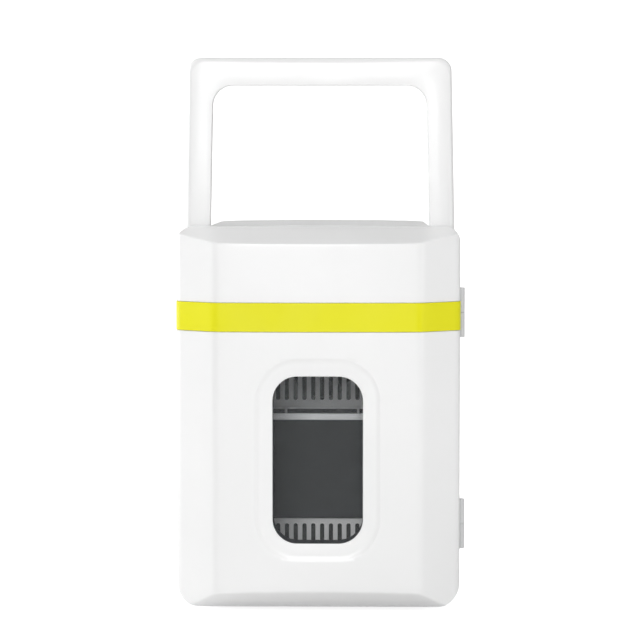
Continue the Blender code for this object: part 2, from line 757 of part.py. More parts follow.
def cover_screw_places():
    side = HALF_WIDTH - WALL - COVER_SCREW_INSET
    low = FOOT_HEIGHT + WALL + COVER_SCREW_INSET
    high = SHOULDER_Z - WALL - COVER_SCREW_INSET
    for name, x in (("left", -side), ("right", side)):
        yield f"top_{name}", x, high
        yield f"bottom_{name}", x, low


def cabinet_shell(paint):
    """The cabinet's outer shell: a tube, open in front and behind, with a crown and lowered shoulders."""
    shell = cabinet_form("cabinet_shell", 0.0, CABINET_FRONT_Y, BACK_Y, paint)
    hollow = cabinet_form("cabinet_hollow", WALL, CABINET_FRONT_Y - BEYOND, BACK_Y + BEYOND)
    boss_end = BACK_Y - WALL - TOUCH_GAP
    for where, x, _ in cover_screw_places():
        outward_x = math.copysign(HALF_WIDTH + BEYOND, x)
        outward_z = SHOULDER_Z + BEYOND if where.startswith("top") else -BEYOND
        inner_x = math.copysign(HALF_WIDTH - BOSS_SIZE, x)
        inner_z = SHOULDER_Z - BOSS_SIZE if where.startswith("top") else FOOT_HEIGHT + BOSS_SIZE
        low = (min(inner_x, outward_x), boss_end - BOSS_LENGTH, min(inner_z, outward_z))
        high = (max(inner_x, outward_x), boss_end, max(inner_z, outward_z))
        cut(hollow, make_object(f"boss_{where}", block(low, high)))
    cut(shell, hollow, *hinge_notches("cabinet_notch"))
    for where, x, z in cover_screw_places():
        radius = COVER_SCREW_RADIUS + TOUCH_GAP
        hole = prism(circle((x, z), radius, 10), "Y", boss_end - COVER_SCREW_LENGTH, BACK_Y + BEYOND)
        cut(shell, make_object(f"boss_hole_{where}", hole))
    for side in (-1, 1):
        bore = [(side * (CROWN_HALF_WIDTH + reach), PIVOT_RADIUS + TOUCH_GAP) for reach in (-BEYOND, BEYOND)]
        cut(shell, make_object(f"shell_pivot_bore_{side}", turned((0, HANDLE_Y, PIVOT_Z), "X", bore)))


def inner_liner(plastic):
    """The moulded inner tub: a front flange, the cavity, shelf ribs and a hole for the cold block."""
    flange_back = CABINET_FRONT_Y + FLANGE_THICKNESS
    flange = prism(body_outline(WALL + TOUCH_GAP), "Y", CABINET_FRONT_Y, flange_back)
    liner = make_object("inner_liner", flange, plastic)
    back = CAVITY_BACK_Y + LINER_WALL
    tub = prism(cavity_outline(LINER_WALL), "Y", flange_back - FLANGE_OVERLAP, back)
    cavity = prism(cavity_outline(), "Y", CABINET_FRONT_Y - BEYOND, CAVITY_BACK_Y)
    cavity_cutter = make_object("cavity_cutter", cavity)
    rib_top = SHELF_TOP_Z - SHELF_THICKNESS - TOUCH_GAP
    rib_start, rib_end = shelf_front() + SHELF_RIB_SHORT, GRILLE_Y - SHELF_RIB_SHORT
    for side in (-1, 1):
        left, right = sorted((side * (CAVITY_HALF_WIDTH - SHELF_RIB), side * (CAVITY_HALF_WIDTH + BEYOND)))
        rib = block((left, rib_start, rib_top - SHELF_RIB), (right, rib_end, rib_top))
        cut(cavity_cutter, make_object(f"shelf_rib_{side}", rib))
    fuse(liner, make_object("liner_tub", tub))
    block_hole = module_block(2 * TOUCH_GAP, CAVITY_BACK_Y - CUT_OVERRUN, back + BEYOND)
    cut(liner, cavity_cutter, make_object("liner_block_hole", block_hole),
        *hinge_notches("flange_notch"),
        *leaf_screw_holes("flange_screw_hole", CABINET_FRONT_Y - BEYOND, flange_back + CUT_OVERRUN),
        *clamp_screw_holes("liner_clamp_hole", CAVITY_BACK_Y - CUT_OVERRUN, back + CUT_OVERRUN))


def module_block(margin, start, end):
    half = MODULE_SIZE / 2 + margin
    return block((-half, start, UNIT_CENTRE_Z - half), (half, end, UNIT_CENTRE_Z + half))


def clamp_screw_holes(name, start, end):
    radius = CLAMP_SCREW_RADIUS + TOUCH_GAP
    holes = []
    for side in (-1, 1):
        outline = circle((side * CLAMP_SCREW_HALF_SPACING, UNIT_CENTRE_Z), radius, 12)
        holes.append(make_object(f"{name}_{side}", prism(outline, "Y", start, end)))
    return holes


def cabinet_foam(foam):
    """The foam between the cabinet's shell and its tub, up to the cooling unit's hot side."""
    front = CABINET_FRONT_Y + FLANGE_THICKNESS + 2 * TOUCH_GAP
    made = cabinet_form("cabinet_foam", WALL + TOUCH_GAP, front, FOAM_BACK_Y, foam)
    tub = prism(cavity_outline(LINER_WALL + TOUCH_GAP), "Y",
                front - BEYOND, CAVITY_BACK_Y + LINER_WALL + TOUCH_GAP)
    block_hole = module_block(2 * TOUCH_GAP, CAVITY_BACK_Y, FOAM_BACK_Y + BEYOND)
    screw_end = CABINET_FRONT_Y + LEAF_SCREW_LENGTH + 2 * TOUCH_GAP
    cut(made, make_object("foam_tub", tub), make_object("foam_block_hole", block_hole),
        *leaf_screw_holes("cabinet_foam_screw_hole", CABINET_FRONT_Y, screw_end),
        *clamp_screw_holes("foam_clamp_hole", CAVITY_BACK_Y, FOAM_BACK_Y + BEYOND))
    head = PIVOT_HEAD_RADIUS + TOUCH_GAP
    for side in (-1, 1):
        ends = (pivot_head_x() - TOUCH_GAP, CROWN_HALF_WIDTH + BEYOND)
        pocket = turned((0, HANDLE_Y, PIVOT_Z), "X", [(side * end, head) for end in ends])
        cut(made, make_object(f"foam_pivot_pocket_{side}", pocket))


def back_cover(plastic):
    """The rear panel: fan vents, upper vents, screw holes and the openings of the sockets and switch."""
    low = FOOT_HEIGHT + WALL + TOUCH_GAP
    half = HALF_WIDTH - WALL - TOUCH_GAP
    high = SHOULDER_Z - WALL - TOUCH_GAP
    outline = rounded(rectangle((-half, low), (half, high), BASE_CORNER - WALL, 4 * TOUCH_GAP))
    cover = make_object("back_cover", prism(outline, "Y", BACK_Y - WALL, BACK_Y), plastic)
    near, far = BACK_Y - BEYOND, BACK_Y + BEYOND
    vent_groups = (("fan", UNIT_CENTRE_Z, FAN_VENT_COUNT), ("top", TOP_VENT_CENTRE_Z, TOP_VENT_COUNT))
    for group, middle, count in vent_groups:
        for index in range(count):
            z = middle + (index - (count - 1) / 2) * VENT_PITCH
            vent = block((-VENT_LENGTH / 2, near, z - VENT_WIDTH / 2),
                         (VENT_LENGTH / 2, far, z + VENT_WIDTH / 2))
            cut(cover, make_object(f"{group}_vent_{index}", vent))
    for where, x, z in cover_screw_places():
        hole = prism(circle((x, z), COVER_SCREW_RADIUS + TOUCH_GAP, 12), "Y", near, far)
        cut(cover, make_object(f"cover_hole_{where}", hole))
    for name, (x, half_x, half_z) in panel_openings().items():
        opening = rectangle((x - half_x - TOUCH_GAP, PANEL_ROW_Z - half_z - TOUCH_GAP),
                            (x + half_x + TOUCH_GAP, PANEL_ROW_Z + half_z + TOUCH_GAP))
        cut(cover, make_object(f"{name}_opening", prism(rounded(opening), "Y", near, far)))
    light = prism(circle((LIGHT_X, PANEL_ROW_Z), LIGHT_RADIUS + TOUCH_GAP, 16), "Y", near, far)
    cut(cover, make_object("light_hole", light))


def panel_openings():
    """X, half width and half height of the socket and switch housings in the back panel, by name."""
    rocker_half_x = ROCKER_SIZE[0] / 2 + ROCKER_THROW
    rocker_half_z = ROCKER_SIZE[1] / 2 + TOUCH_GAP
    return {
        "ac_inlet": (AC_INLET_X, AC_SOCKET[0] / 2 + INLET_WALL, AC_SOCKET[1] / 2 + INLET_WALL),
        "dc_inlet": (DC_INLET_X, DC_SOCKET_RADIUS + INLET_WALL, DC_SOCKET_RADIUS + INLET_WALL),
        "switch_housing": (SWITCH_X, rocker_half_x + INLET_WALL, rocker_half_z + INLET_WALL),
    }


def panel_housing(name, plastic):
    """A solid housing in its opening of the back panel, flush with the panel's face."""
    x, half_x, half_z = panel_openings()[name]
    low = (x - half_x, BACK_Y - INLET_DEPTH, PANEL_ROW_Z - half_z)
    return make_object(name, block(low, (x + half_x, BACK_Y, PANEL_ROW_Z + half_z)), plastic)


def cover_screws(bright_steel):
    start = BACK_Y - WALL - TOUCH_GAP - COVER_SCREW_LENGTH + COVER_SCREW_CLEARANCE
    face = BACK_Y + TOUCH_GAP
    for where, x, z in cover_screw_places():
        profile = [
            (start, COVER_SCREW_RADIUS / 2),
            (start + COVER_SCREW_TIP, COVER_SCREW_RADIUS),
            (face, COVER_SCREW_RADIUS),
            (face, COVER_SCREW_HEAD_RADIUS),
            (face + COVER_SCREW_HEAD / 2, COVER_SCREW_HEAD_RADIUS),
            (face + COVER_SCREW_HEAD, COVER_SCREW_HEAD_RADIUS / 2),
        ]
        make_object(f"cover_screw_{where}", turned((x, 0, z), "Y", profile, 12), bright_steel)


def feet(rubber):
    side = HALF_WIDTH - FOOT_SIDE_INSET
    profile = [
        (0.0, FOOT_RADIUS * FOOT_CHAMFER_SHARE),
        (FOOT_CHAMFER_HEIGHT, FOOT_RADIUS),
        (FOOT_HEIGHT - TOUCH_GAP, FOOT_RADIUS),
    ]
    for row, y in (("front", CABINET_FRONT_Y + FOOT_FRONT_INSET), ("rear", BACK_Y - FOOT_REAR_INSET)):
        for name, x in (("left", -side), ("right", side)):
            make_object(f"foot_{row}_{name}", turned((x, y, 0), "Z", profile, 20), rubber)


# Handle ----------------------------------------------------------------------------------------


def pivot_head_x():
    return CROWN_HALF_WIDTH - WALL - TOUCH_GAP - PIVOT_HEAD_THICKNESS


def carry_handle(paint):
    """The U-shaped handle, standing up, with its origin on the line through its two pivots."""
    foot_z, top = PIVOT_Z - HANDLE_THICKNESS / 2, HANDLE_TOP
    outer, inner = HANDLE_HALF_WIDTH, HANDLE_HALF_WIDTH - HANDLE_LEG_WIDTH
    under = top - HANDLE_BAR_HEIGHT
    low = foot_z - BEYOND
    front_view = rounded([
        (-outer, low, 0.0),
        (-inner, low, 0.0),
        (-inner + HANDLE_TAPER, under, HANDLE_INNER_RADIUS),
        (inner - HANDLE_TAPER, under, HANDLE_INNER_RADIUS),
        (inner, low, 0.0),
        (outer, low, 0.0),
        (outer - HANDLE_TAPER, top, HANDLE_OUTER_RADIUS),
        (-outer + HANDLE_TAPER, top, HANDLE_OUTER_RADIUS),
    ])
    half = HANDLE_THICKNESS / 2
    side_view = rounded([
        (HANDLE_Y - half, foot_z, HANDLE_FOOT_RADIUS),
        (HANDLE_Y + half, foot_z, HANDLE_FOOT_RADIUS),
        (HANDLE_Y + half, top + BEYOND, 0.0),
        (HANDLE_Y - half, top + BEYOND, 0.0),
    ])
    blank = prism(front_view, "Y", HANDLE_Y - BEYOND, HANDLE_Y + BEYOND)
    handle = make_object("carry_handle", blank, paint, origin=(0, HANDLE_Y, PIVOT_Z))
    wide = HALF_WIDTH + BEYOND
    keep_common(handle, make_object("handle_side_view", prism(side_view, "X", -wide, wide)))
    for side in (-1, 1):
        bore = [(side * (inner - BEYOND), PIVOT_RADIUS + TOUCH_GAP),
                (side * (inner + PIVOT_REACH + TOUCH_GAP), PIVOT_RADIUS + TOUCH_GAP)]
        cut(handle, make_object(f"handle_bore_{side}", turned((0, HANDLE_Y, PIVOT_Z), "X", bore)))


def handle_pivots(bright_steel):
    head = pivot_head_x()
    tip = HANDLE_HALF_WIDTH - HANDLE_LEG_WIDTH + PIVOT_REACH
    for name, side in (("left", -1), ("right", 1)):
        profile = [
            (side * head, PIVOT_HEAD_RADIUS),
            (side * (head + PIVOT_HEAD_THICKNESS), PIVOT_HEAD_RADIUS),
            (side * (head + PIVOT_HEAD_THICKNESS), PIVOT_RADIUS),
            (side * tip, PIVOT_RADIUS),
        ]
        pin = turned((0, HANDLE_Y, PIVOT_Z), "X", profile)
        make_object(f"handle_pivot_{name}", pin, bright_steel, origin=(0, HANDLE_Y, PIVOT_Z))


# Air duct --------------------------------------------------------------------------------------


def slotted_cover(name, levels, slot_levels, lip, plastic):
    """A plate with returns to the cavity's back wall and a row of round-ended upright slots."""
    low, high = levels
    half = DUCT_HALF_WIDTH
    back = CAVITY_BACK_Y - TOUCH_GAP
    cover = make_object(name, block((-half, GRILLE_Y, low), (half, back, high)), plastic)
    room_low = low - BEYOND if lip else low + DUCT_WALL
    room_high = high - DUCT_WALL if lip else high + BEYOND
    room = block((-half + DUCT_WALL, GRILLE_Y + DUCT_WALL, room_low),
                 (half - DUCT_WALL, back + BEYOND, room_high))
    cut(cover, make_object(name + "_room", room))
    for index in range(SLOT_COUNT):
        x = (index - (SLOT_COUNT - 1) / 2) * SLOT_PITCH
        ends = rectangle((x - SLOT_WIDTH / 2, slot_levels[0]), (x + SLOT_WIDTH / 2, slot_levels[1]),
                         SLOT_END_RADIUS)
        slot = prism(rounded(ends, 3), "Y", GRILLE_Y - BEYOND, GRILLE_Y + 2 * DUCT_WALL)
        cut(cover, make_object(f"{name}_slot_{index}", slot))
    if lip:
        ledge = block((-half, GRILLE_Y - LIP_REACH, low),
                      (half, GRILLE_Y + DUCT_WALL / 2, low + LIP_THICKNESS))
        fuse(cover, make_object(name + "_ledge", ledge))


def air_duct(grey, dark_metal, satin_metal):
    """The covers over the inner fan and cold sink: slotted above and below, a plain cold plate between."""
    top = UPPER_GRILLE_Z + UPPER_GRILLE_HEIGHT
    upper_slots = (UPPER_GRILLE_Z + UPPER_SLOT_MARGIN, top - UPPER_SLOT_TOP_MARGIN)
    slotted_cover("upper_grille", (UPPER_GRILLE_Z, top), upper_slots, True, grey)
    low = CAVITY_BASE_Z + LOWER_GRILLE_LIFT
    lower_top = low + LOWER_GRILLE_HEIGHT
    lower_slots = (low + LOWER_SLOT_BASE_MARGIN, lower_top - LOWER_SLOT_MARGIN)
    slotted_cover("lower_grille", (low, lower_top), lower_slots, False, grey)
    rail_low = RAIL_TOP_Z - RAIL_HEIGHT
    half = DUCT_HALF_WIDTH
    face_back = GRILLE_Y + DUCT_WALL
    plate = block((-half, GRILLE_Y, lower_top + TOUCH_GAP), (half, face_back, rail_low - TOUCH_GAP))
    make_object("cold_plate", plate, dark_metal)
    bar = block((-half, GRILLE_Y - RAIL_REACH, rail_low), (half, face_back, RAIL_TOP_Z))
    rail = make_object("plate_rail", bar, satin_metal)
    for side in (-1, 1):
        ends = [(RAIL_TOP_Z - RAIL_HEIGHT / 2, POST_RADIUS), (UPPER_GRILLE_Z - TOUCH_GAP, POST_RADIUS)]
        post = turned((side * POST_HALF_SPACING, GRILLE_Y - RAIL_REACH / 2, 0), "Z", ends, 12)
        fuse(rail, make_object(f"rail_post_{side}", post))


# Cooling unit ----------------------------------------------------------------------------------


def heat_sink(name, size, base_y, base_end_y, tip_y, aluminium):
    """A square base with straight upright fins, drawn as a comb in plan and extruded upwards."""
    half = size / 2
    count = int((size - FIN_THICKNESS) / FIN_PITCH) + 1
    first = -(count - 1) * FIN_PITCH / 2
    comb = [(-half, base_y), (-half, base_end_y)]
    for index in range(count):
        x = first + index * FIN_PITCH
        left, right = x - FIN_THICKNESS / 2, x + FIN_THICKNESS / 2
        comb += [(left, base_end_y), (left, tip_y), (right, tip_y), (right, base_end_y)]
    comb += [(half, base_end_y), (half, base_y)]
    sink = make_object(name, prism(comb, "Z", UNIT_CENTRE_Z - half, UNIT_CENTRE_Z + half), aluminium)
    low, high = sorted((base_y, tip_y))
    for side in (-1, 1):
        outline = circle((side * CLAMP_SCREW_HALF_SPACING, UNIT_CENTRE_Z), SINK_HOLE_RADIUS, 16)
        cut(sink, make_object(f"{name}_screw_hole_{side}", prism(outline, "Y", low - BEYOND, high + BEYOND)))


def cooling_unit(aluminium, ceramic, bright_steel):
    """Cold sink, conducting block, thermoelectric module and hot sink, clamped by two long screws."""
    cold_back = CAVITY_BACK_Y - TOUCH_GAP
    cold_face = cold_back - COLD_SINK_BASE
    heat_sink("cold_sink", COLD_SINK_SIZE, cold_back, cold_face, cold_face - COLD_FIN_LENGTH, aluminium)
    hot_face = HOT_BASE_Y + HOT_SINK_BASE
    heat_sink("hot_sink", HOT_SINK_SIZE, HOT_BASE_Y, hot_face, hot_face + HOT_FIN_LENGTH, aluminium)
    module_y = FOAM_BACK_Y - TOUCH_GAP
    transfer = module_block(-MODULE_GAP, CAVITY_BACK_Y, module_y - TOUCH_GAP)
    make_object("transfer_block", transfer, aluminium)
    module = module_block(-MODULE_GAP, module_y, module_y + MODULE_THICKNESS)
    make_object("peltier_module", module, ceramic)
    head_end = cold_face - TOUCH_GAP
    profile = [
        (head_end - CLAMP_HEAD_HEIGHT, CLAMP_HEAD_RADIUS),
        (head_end, CLAMP_HEAD_RADIUS),
        (head_end, CLAMP_SCREW_RADIUS),
        (hot_face + CLAMP_SCREW_REACH, CLAMP_SCREW_RADIUS),
    ]
    for name, side in (("left", -1), ("right", 1)):
        screw = turned((side * CLAMP_SCREW_HALF_SPACING, 0, UNIT_CENTRE_Z), "Y", profile, 12)
        make_object(f"clamp_screw_{name}", screw, bright_steel)


def fan_blades(name, centre, hub, reach, depth):
    """Flat blades set at a pitch round the Y axis, from inside the hub out to reach, as one helper."""
    blades = bmesh.new()
    root = hub * FAN_ROOT_SHARE
    width = (depth - BLADE_THICKNESS) / math.cos(BLADE_PITCH)
    out = Matrix.Translation(((reach + root) / 2, 0, 0)) @ Matrix.Rotation(BLADE_PITCH, 4, "X")
    for index in range(FAN_BLADE_COUNT):
        blade = bmesh.ops.create_cube(blades, size=1.0)["verts"]
        bmesh.ops.scale(blades, vec=(reach - root, width, BLADE_THICKNESS), verts=blade)
        around = Matrix.Rotation(2 * math.pi * index / FAN_BLADE_COUNT, 4, "Y")
        bmesh.ops.transform(blades, matrix=Matrix.Translation(centre) @ around @ out, verts=blade)
    return make_object(f"{name}_blades", blades)


def fan(name, size, centre_z, start_y, plastic, rotor_plastic):
    """A square axial fan: a frame with four struts and a hub pin, and a rotor that turns on the pin."""
    radius = size / 2 - FAN_WALL
    hub = size / 2 * FAN_HUB_SHARE
    end_y = start_y + FAN_DEPTH
    strut_y = end_y - FAN_STRUT_DEPTH
    pin_y = start_y + FAN_PIN_START
    centre = (0, start_y, centre_z)
    half = size / 2
    outline = rounded(rectangle((-half, centre_z - half), (half, centre_z + half), FAN_CORNER), 3)
    frame = make_object(f"{name}_frame", prism(outline, "Y", start_y, end_y), plastic)
    hole = prism(circle((0, centre_z), radius, 36), "Y", start_y - BEYOND, end_y + BEYOND)
    cut(frame, make_object(f"{name}_hole", hole))
    strut_reach = radius + FAN_WALL / 3
    for index in range(2):
        strut = block((-strut_reach, strut_y, -FAN_STRUT_WIDTH / 2),
                      (strut_reach, end_y, FAN_STRUT_WIDTH / 2))
        turn = Matrix.Rotation(math.radians(45 + 90 * index), 4, "Y")
        bmesh.ops.transform(strut, matrix=Matrix.Translation((0, 0, centre_z)) @ turn, verts=strut.verts)
        fuse(frame, make_object(f"{name}_strut_{index}", strut))
    seat = turned(centre, "Y", [(strut_y, hub), (end_y, hub)], 24)
    pin = turned(centre, "Y", [(pin_y, FAN_PIN_RADIUS), (end_y - FAN_END_GAP, FAN_PIN_RADIUS)], 12)
    fuse(frame, make_object(f"{name}_seat", seat), make_object(f"{name}_pin", pin))
    rotor_start, rotor_end = start_y + FAN_END_GAP, strut_y - 2 * TOUCH_GAP
    middle = (0, (rotor_start + rotor_end) / 2, centre_z)
    boss_profile = [(rotor_start, hub - FAN_HUB_CROWN), (rotor_start + FAN_HUB_CROWN, hub), (rotor_end, hub)]
    rotor = make_object(f"{name}_rotor", turned(centre, "Y", boss_profile, 24), rotor_plastic, origin=middle)
    fuse(rotor, fan_blades(name, middle, hub, radius - FAN_TIP_GAP, rotor_end - rotor_start))
    bore_radius = FAN_PIN_RADIUS + TOUCH_GAP
    bore = turned(centre, "Y", [(pin_y - TOUCH_GAP, bore_radius), (end_y, bore_radius)], 12)
    cut(rotor, make_object(f"{name}_bore", bore))


# Electrics on the back panel -------------------------------------------------------------------


def contact_pin(inlet, name, x):
    """Joins a contact pin to its inlet, from the recess's floor to a little inside its mouth."""
    ends = (BACK_Y - SOCKET_DEPTH - SOCKET_PIN_ROOT, BACK_Y - SOCKET_MOUTH)
    pin = turned((x, 0, PANEL_ROW_Z), "Y", [(end, SOCKET_PIN_RADIUS) for end in ends], 10)
    fuse(inlet, make_object(name, pin))


def sockets(plastic):
    """The mains and low-voltage inlets: housings with a recess and contact pins, flush with the panel."""
    floor, beyond = BACK_Y - SOCKET_DEPTH, BACK_Y + BEYOND
    half_x, half_z = AC_SOCKET[0] / 2, AC_SOCKET[1] / 2
    mains = panel_housing("ac_inlet", plastic)
    recess = rectangle((AC_INLET_X - half_x, PANEL_ROW_Z - half_z),
                       (AC_INLET_X + half_x, PANEL_ROW_Z + half_z), AC_SOCKET_CORNER)
    cut(mains, make_object("ac_inlet_recess", prism(rounded(recess, 4), "Y", floor, beyond)))
    for side in (-1, 1):
        contact_pin(mains, f"ac_inlet_pin_{side}", AC_INLET_X + side * AC_PIN_HALF_SPACING)
    low_voltage = panel_housing("dc_inlet", plastic)
    recess = circle((DC_INLET_X, PANEL_ROW_Z), DC_SOCKET_RADIUS, 24)
    cut(low_voltage, make_object("dc_inlet_recess", prism(recess, "Y", floor, beyond)))
    contact_pin(low_voltage, "dc_inlet_pin", DC_INLET_X)


def mode_switch(plastic, rocker_plastic):
    """A three-place rocker that turns about an upright pin, level with the back panel at rest."""
    x, axis_y = SWITCH_X, BACK_Y - ROCKER_AXIS_DEPTH
    half, tall = ROCKER_SIZE[0] / 2, ROCKER_SIZE[1] / 2
    room = block((x - half - ROCKER_THROW, axis_y - ROCKER_ROOM_DEPTH, PANEL_ROW_Z - tall - TOUCH_GAP),
                 (x + half + ROCKER_THROW, BACK_Y + BEYOND, PANEL_ROW_Z + tall + TOUCH_GAP))
    pin_reach = tall + ROCKER_PIN_OVERHANG
    seat_reach, seat_radius = pin_reach + TOUCH_GAP, ROCKER_PIN_RADIUS + TOUCH_GAP
    seat = [(PANEL_ROW_Z + side * seat_reach, seat_radius) for side in (-1, 1)]
    cut(panel_housing("switch_housing", plastic), make_object("rocker_room", room),
        make_object("rocker_seat", turned((x, axis_y, 0), "Z", seat, 12)))
    outline = [
        (x - half, axis_y + ROCKER_TIP),
        (x - half, axis_y - ROCKER_EDGE),
        (x, axis_y - ROCKER_KEEL),
        (x + half, axis_y - ROCKER_EDGE),
        (x + half, axis_y + ROCKER_TIP),
        (x, axis_y + ROCKER_DIP),
    ]
    rocker = make_object("mode_rocker", prism(outline, "Z", PANEL_ROW_Z - tall, PANEL_ROW_Z + tall),
                         rocker_plastic, origin=(x, axis_y, PANEL_ROW_Z))
    pin = [(PANEL_ROW_Z + side * pin_reach, ROCKER_PIN_RADIUS) for side in (-1, 1)]
    fuse(rocker, make_object("rocker_pin", turned((x, axis_y, 0), "Z", pin, 12)))


def power_light(clear):
    profile = [
        (BACK_Y - LIGHT_LENGTH, LIGHT_RADIUS),
        (BACK_Y - LIGHT_SHOULDER, LIGHT_RADIUS),
        (BACK_Y + LIGHT_PROUD, LIGHT_RADIUS * LIGHT_CROWN_SHARE),
    ]
    make_object("power_light", turned((LIGHT_X, 0, PANEL_ROW_Z), "Y", profile, 16), clear)


def control_board(board_green):
    """The power and control board behind the panel, with its largest components."""
    back = FOAM_BACK_Y + BOARD_STANDOFF
    face = back + BOARD_THICKNESS
    root = face - BOARD_THICKNESS / 2
    half, tall = BOARD_SIZE[0] / 2, BOARD_SIZE[1] / 2
    middle = PANEL_ROW_Z - BOARD_DROP
    plate = block((-half, back, middle - tall), (half, face, middle + tall))
    board = make_object("control_board", plate, board_green)
    for name, x, wide, high, deep in BOARD_BLOCKS:
        shape = block((x - wide / 2, root, middle - high / 2), (x + wide / 2, face + deep, middle + high / 2))
        fuse(board, make_object(f"board_{name}", shape))
    for index, x in enumerate(CAPACITOR_PLACES):
        ends = [(root, CAPACITOR_RADIUS), (face + CAPACITOR_LENGTH, CAPACITOR_RADIUS)]
        can = turned((x, 0, middle - CAPACITOR_DROP), "Y", ends, 16)
        fuse(board, make_object(f"board_capacitor_{index}", can))


# Shelf -----------------------------------------------------------------------------------------


def shelf_front():
    return DOOR_REAR_Y + SHELF_FRONT_CLEARANCE


def shelf(clear):
    """The removable shelf: a clear plate with a raised front edge, resting on the liner's two ribs."""
    half = CAVITY_HALF_WIDTH - SLIDE_GAP
    low, front = SHELF_TOP_Z - SHELF_THICKNESS, shelf_front()
    flat = block((-half, front, low), (half, GRILLE_Y - SLIDE_GAP * 2, SHELF_TOP_Z))
    edge = block((-half, front, low + SHELF_THICKNESS / 2),
                 (half, front + SHELF_THICKNESS, SHELF_TOP_Z + SHELF_LIP))
    fuse(make_object("shelf", flat, clear), make_object("shelf_edge", edge))


def main():
    clear_scene()
    white = make_material("white_gloss", (0.90, 0.90, 0.90), 0.28)
    liner_white = make_material("liner_white", (0.80, 0.81, 0.81), 0.45)
    lime = make_material("lime_trim", (0.80, 0.78, 0.03), 0.35)
    foam = make_material("insulation_foam", (0.83, 0.76, 0.55), 0.95)
    clear = make_material("clear_acrylic", (0.85, 0.88, 0.90), 0.05, alpha=0.25)
    dark_plastic = make_material("dark_plastic", (0.05, 0.05, 0.055), 0.45)
    black_plastic = make_material("black_plastic", (0.02, 0.02, 0.02), 0.4)
    grey = make_material("light_grey_plastic", (0.62, 0.63, 0.64), 0.5)
    rubber = make_material("grey_rubber", (0.32, 0.32, 0.33), 0.75)
    dark_metal = make_material("dark_anodised", (0.06, 0.06, 0.065), 0.4, 0.8)
    satin_metal = make_material("satin_aluminium", (0.60, 0.61, 0.62), 0.35, 0.9)
    aluminium = make_material("raw_aluminium", (0.72, 0.73, 0.74), 0.4, 1.0)
    steel = make_material("plated_steel", (0.70, 0.70, 0.70), 0.35, 1.0)
    ceramic = make_material("module_ceramic", (0.88, 0.87, 0.84), 0.5)
    green = make_material("board_green", (0.03, 0.22, 0.08), 0.5)

    door_shell(white)
    trim_band(lime)
    door_liner(liner_white)
    door_foam(foam)
    window_panes(clear, dark_plastic)
    door_gasket(rubber)
    hinges(grey, steel)
    cabinet_shell(white)
    inner_liner(liner_white)
    cabinet_foam(foam)
    back_cover(liner_white)
    cover_screws(steel)
    feet(rubber)
    carry_handle(white)
    handle_pivots(steel)
    air_duct(grey, dark_metal, satin_metal)
    cooling_unit(aluminium, ceramic, steel)
    duct_face = GRILLE_Y + DUCT_WALL + TOUCH_GAP
    fin_tips = HOT_BASE_Y + HOT_SINK_BASE + HOT_FIN_LENGTH + TOUCH_GAP
    fan("inner_fan", INNER_FAN_SIZE, INNER_FAN_CENTRE_Z, duct_face, black_plastic, dark_plastic)
    fan("outer_fan", OUTER_FAN_SIZE, UNIT_CENTRE_Z, fin_tips, black_plastic, dark_plastic)
    sockets(black_plastic)
    mode_switch(black_plastic, dark_plastic)
    power_light(clear)
    control_board(green)
    shelf(clear)


main()
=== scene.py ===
"""Looks of a small thermoelectric fridge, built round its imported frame.

Metres, +Z up; the door faces -Y and hangs on the +X side. One section for each piece or group of pieces.
"""

import math

import bmesh
import bpy
import numpy as np
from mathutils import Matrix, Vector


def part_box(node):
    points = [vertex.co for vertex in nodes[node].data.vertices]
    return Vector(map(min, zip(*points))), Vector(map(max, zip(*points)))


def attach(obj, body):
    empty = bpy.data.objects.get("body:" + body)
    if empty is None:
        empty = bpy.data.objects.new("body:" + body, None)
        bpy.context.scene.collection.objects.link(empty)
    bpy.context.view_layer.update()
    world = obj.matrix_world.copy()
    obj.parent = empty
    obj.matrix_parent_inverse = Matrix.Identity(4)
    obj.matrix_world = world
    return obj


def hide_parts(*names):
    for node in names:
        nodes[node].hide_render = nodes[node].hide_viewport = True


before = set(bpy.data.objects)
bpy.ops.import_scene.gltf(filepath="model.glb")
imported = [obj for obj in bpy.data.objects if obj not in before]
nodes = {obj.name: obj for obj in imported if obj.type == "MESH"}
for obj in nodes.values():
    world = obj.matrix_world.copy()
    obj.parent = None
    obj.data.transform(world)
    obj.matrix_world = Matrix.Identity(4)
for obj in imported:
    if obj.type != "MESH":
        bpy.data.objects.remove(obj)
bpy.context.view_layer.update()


# Camera ----------------------------------------------------------------------------------------
# A long lens a little above the door and a little to its right, looking down by a few degrees, so
# that the slanted brow and a thin strip of the crown behind it both show.

camera_data = bpy.data.cameras.new("camera")
camera_data.lens = 168.3
camera_data.clip_end = 20.0
camera = bpy.data.objects.new("camera", camera_data)
camera.location = (0.052, -2.745, 0.419)
camera.rotation_euler = (math.radians(86.5), 0.0, math.radians(1.10))
bpy.context.scene.collection.objects.link(camera)
bpy.context.scene.camera = camera
bpy.context.scene.view_settings.view_transform = "Standard"


# Studio ----------------------------------------------------------------------------------------
# A pale seamless floor that curves up behind, a surround that is bright overhead and white where it is
# seen, and three soft boxes: a tall one in front, one behind the left side and one on the right.

FLOOR_HALF_WIDTH = 6.0
FLOOR_FRONT_Y = -6.0
FLOOR_BEND_Y = 3.0
FLOOR_BEND_RADIUS = 1.2
BACKDROP_TOP = 5.0
FLOOR_COLOUR = (0.90, 0.90, 0.90, 1.0)
FLOOR_GLOW = 0.85
SURROUND_LEVEL = 0.0
SURROUND_OVERHEAD = 0.86
SURROUND_SEEN = 1.0
SOFT_BOXES = {
    "front_box": {"at": (-0.15, -3.2, 1.20), "aim": (0.0, 0.0, 0.15), "size": (0.7, 1.9), "power": 42.0},
    "edge_box": {"at": (-2.4, 0.7, 0.9), "aim": (0.0, 0.0, 0.2), "size": (0.8, 1.6), "power": 39.0},
    "right_box": {"at": (2.4, -1.4, 0.8), "aim": (0.0, 0.0, 0.2), "size": (0.8, 1.6), "power": 10.0},
}


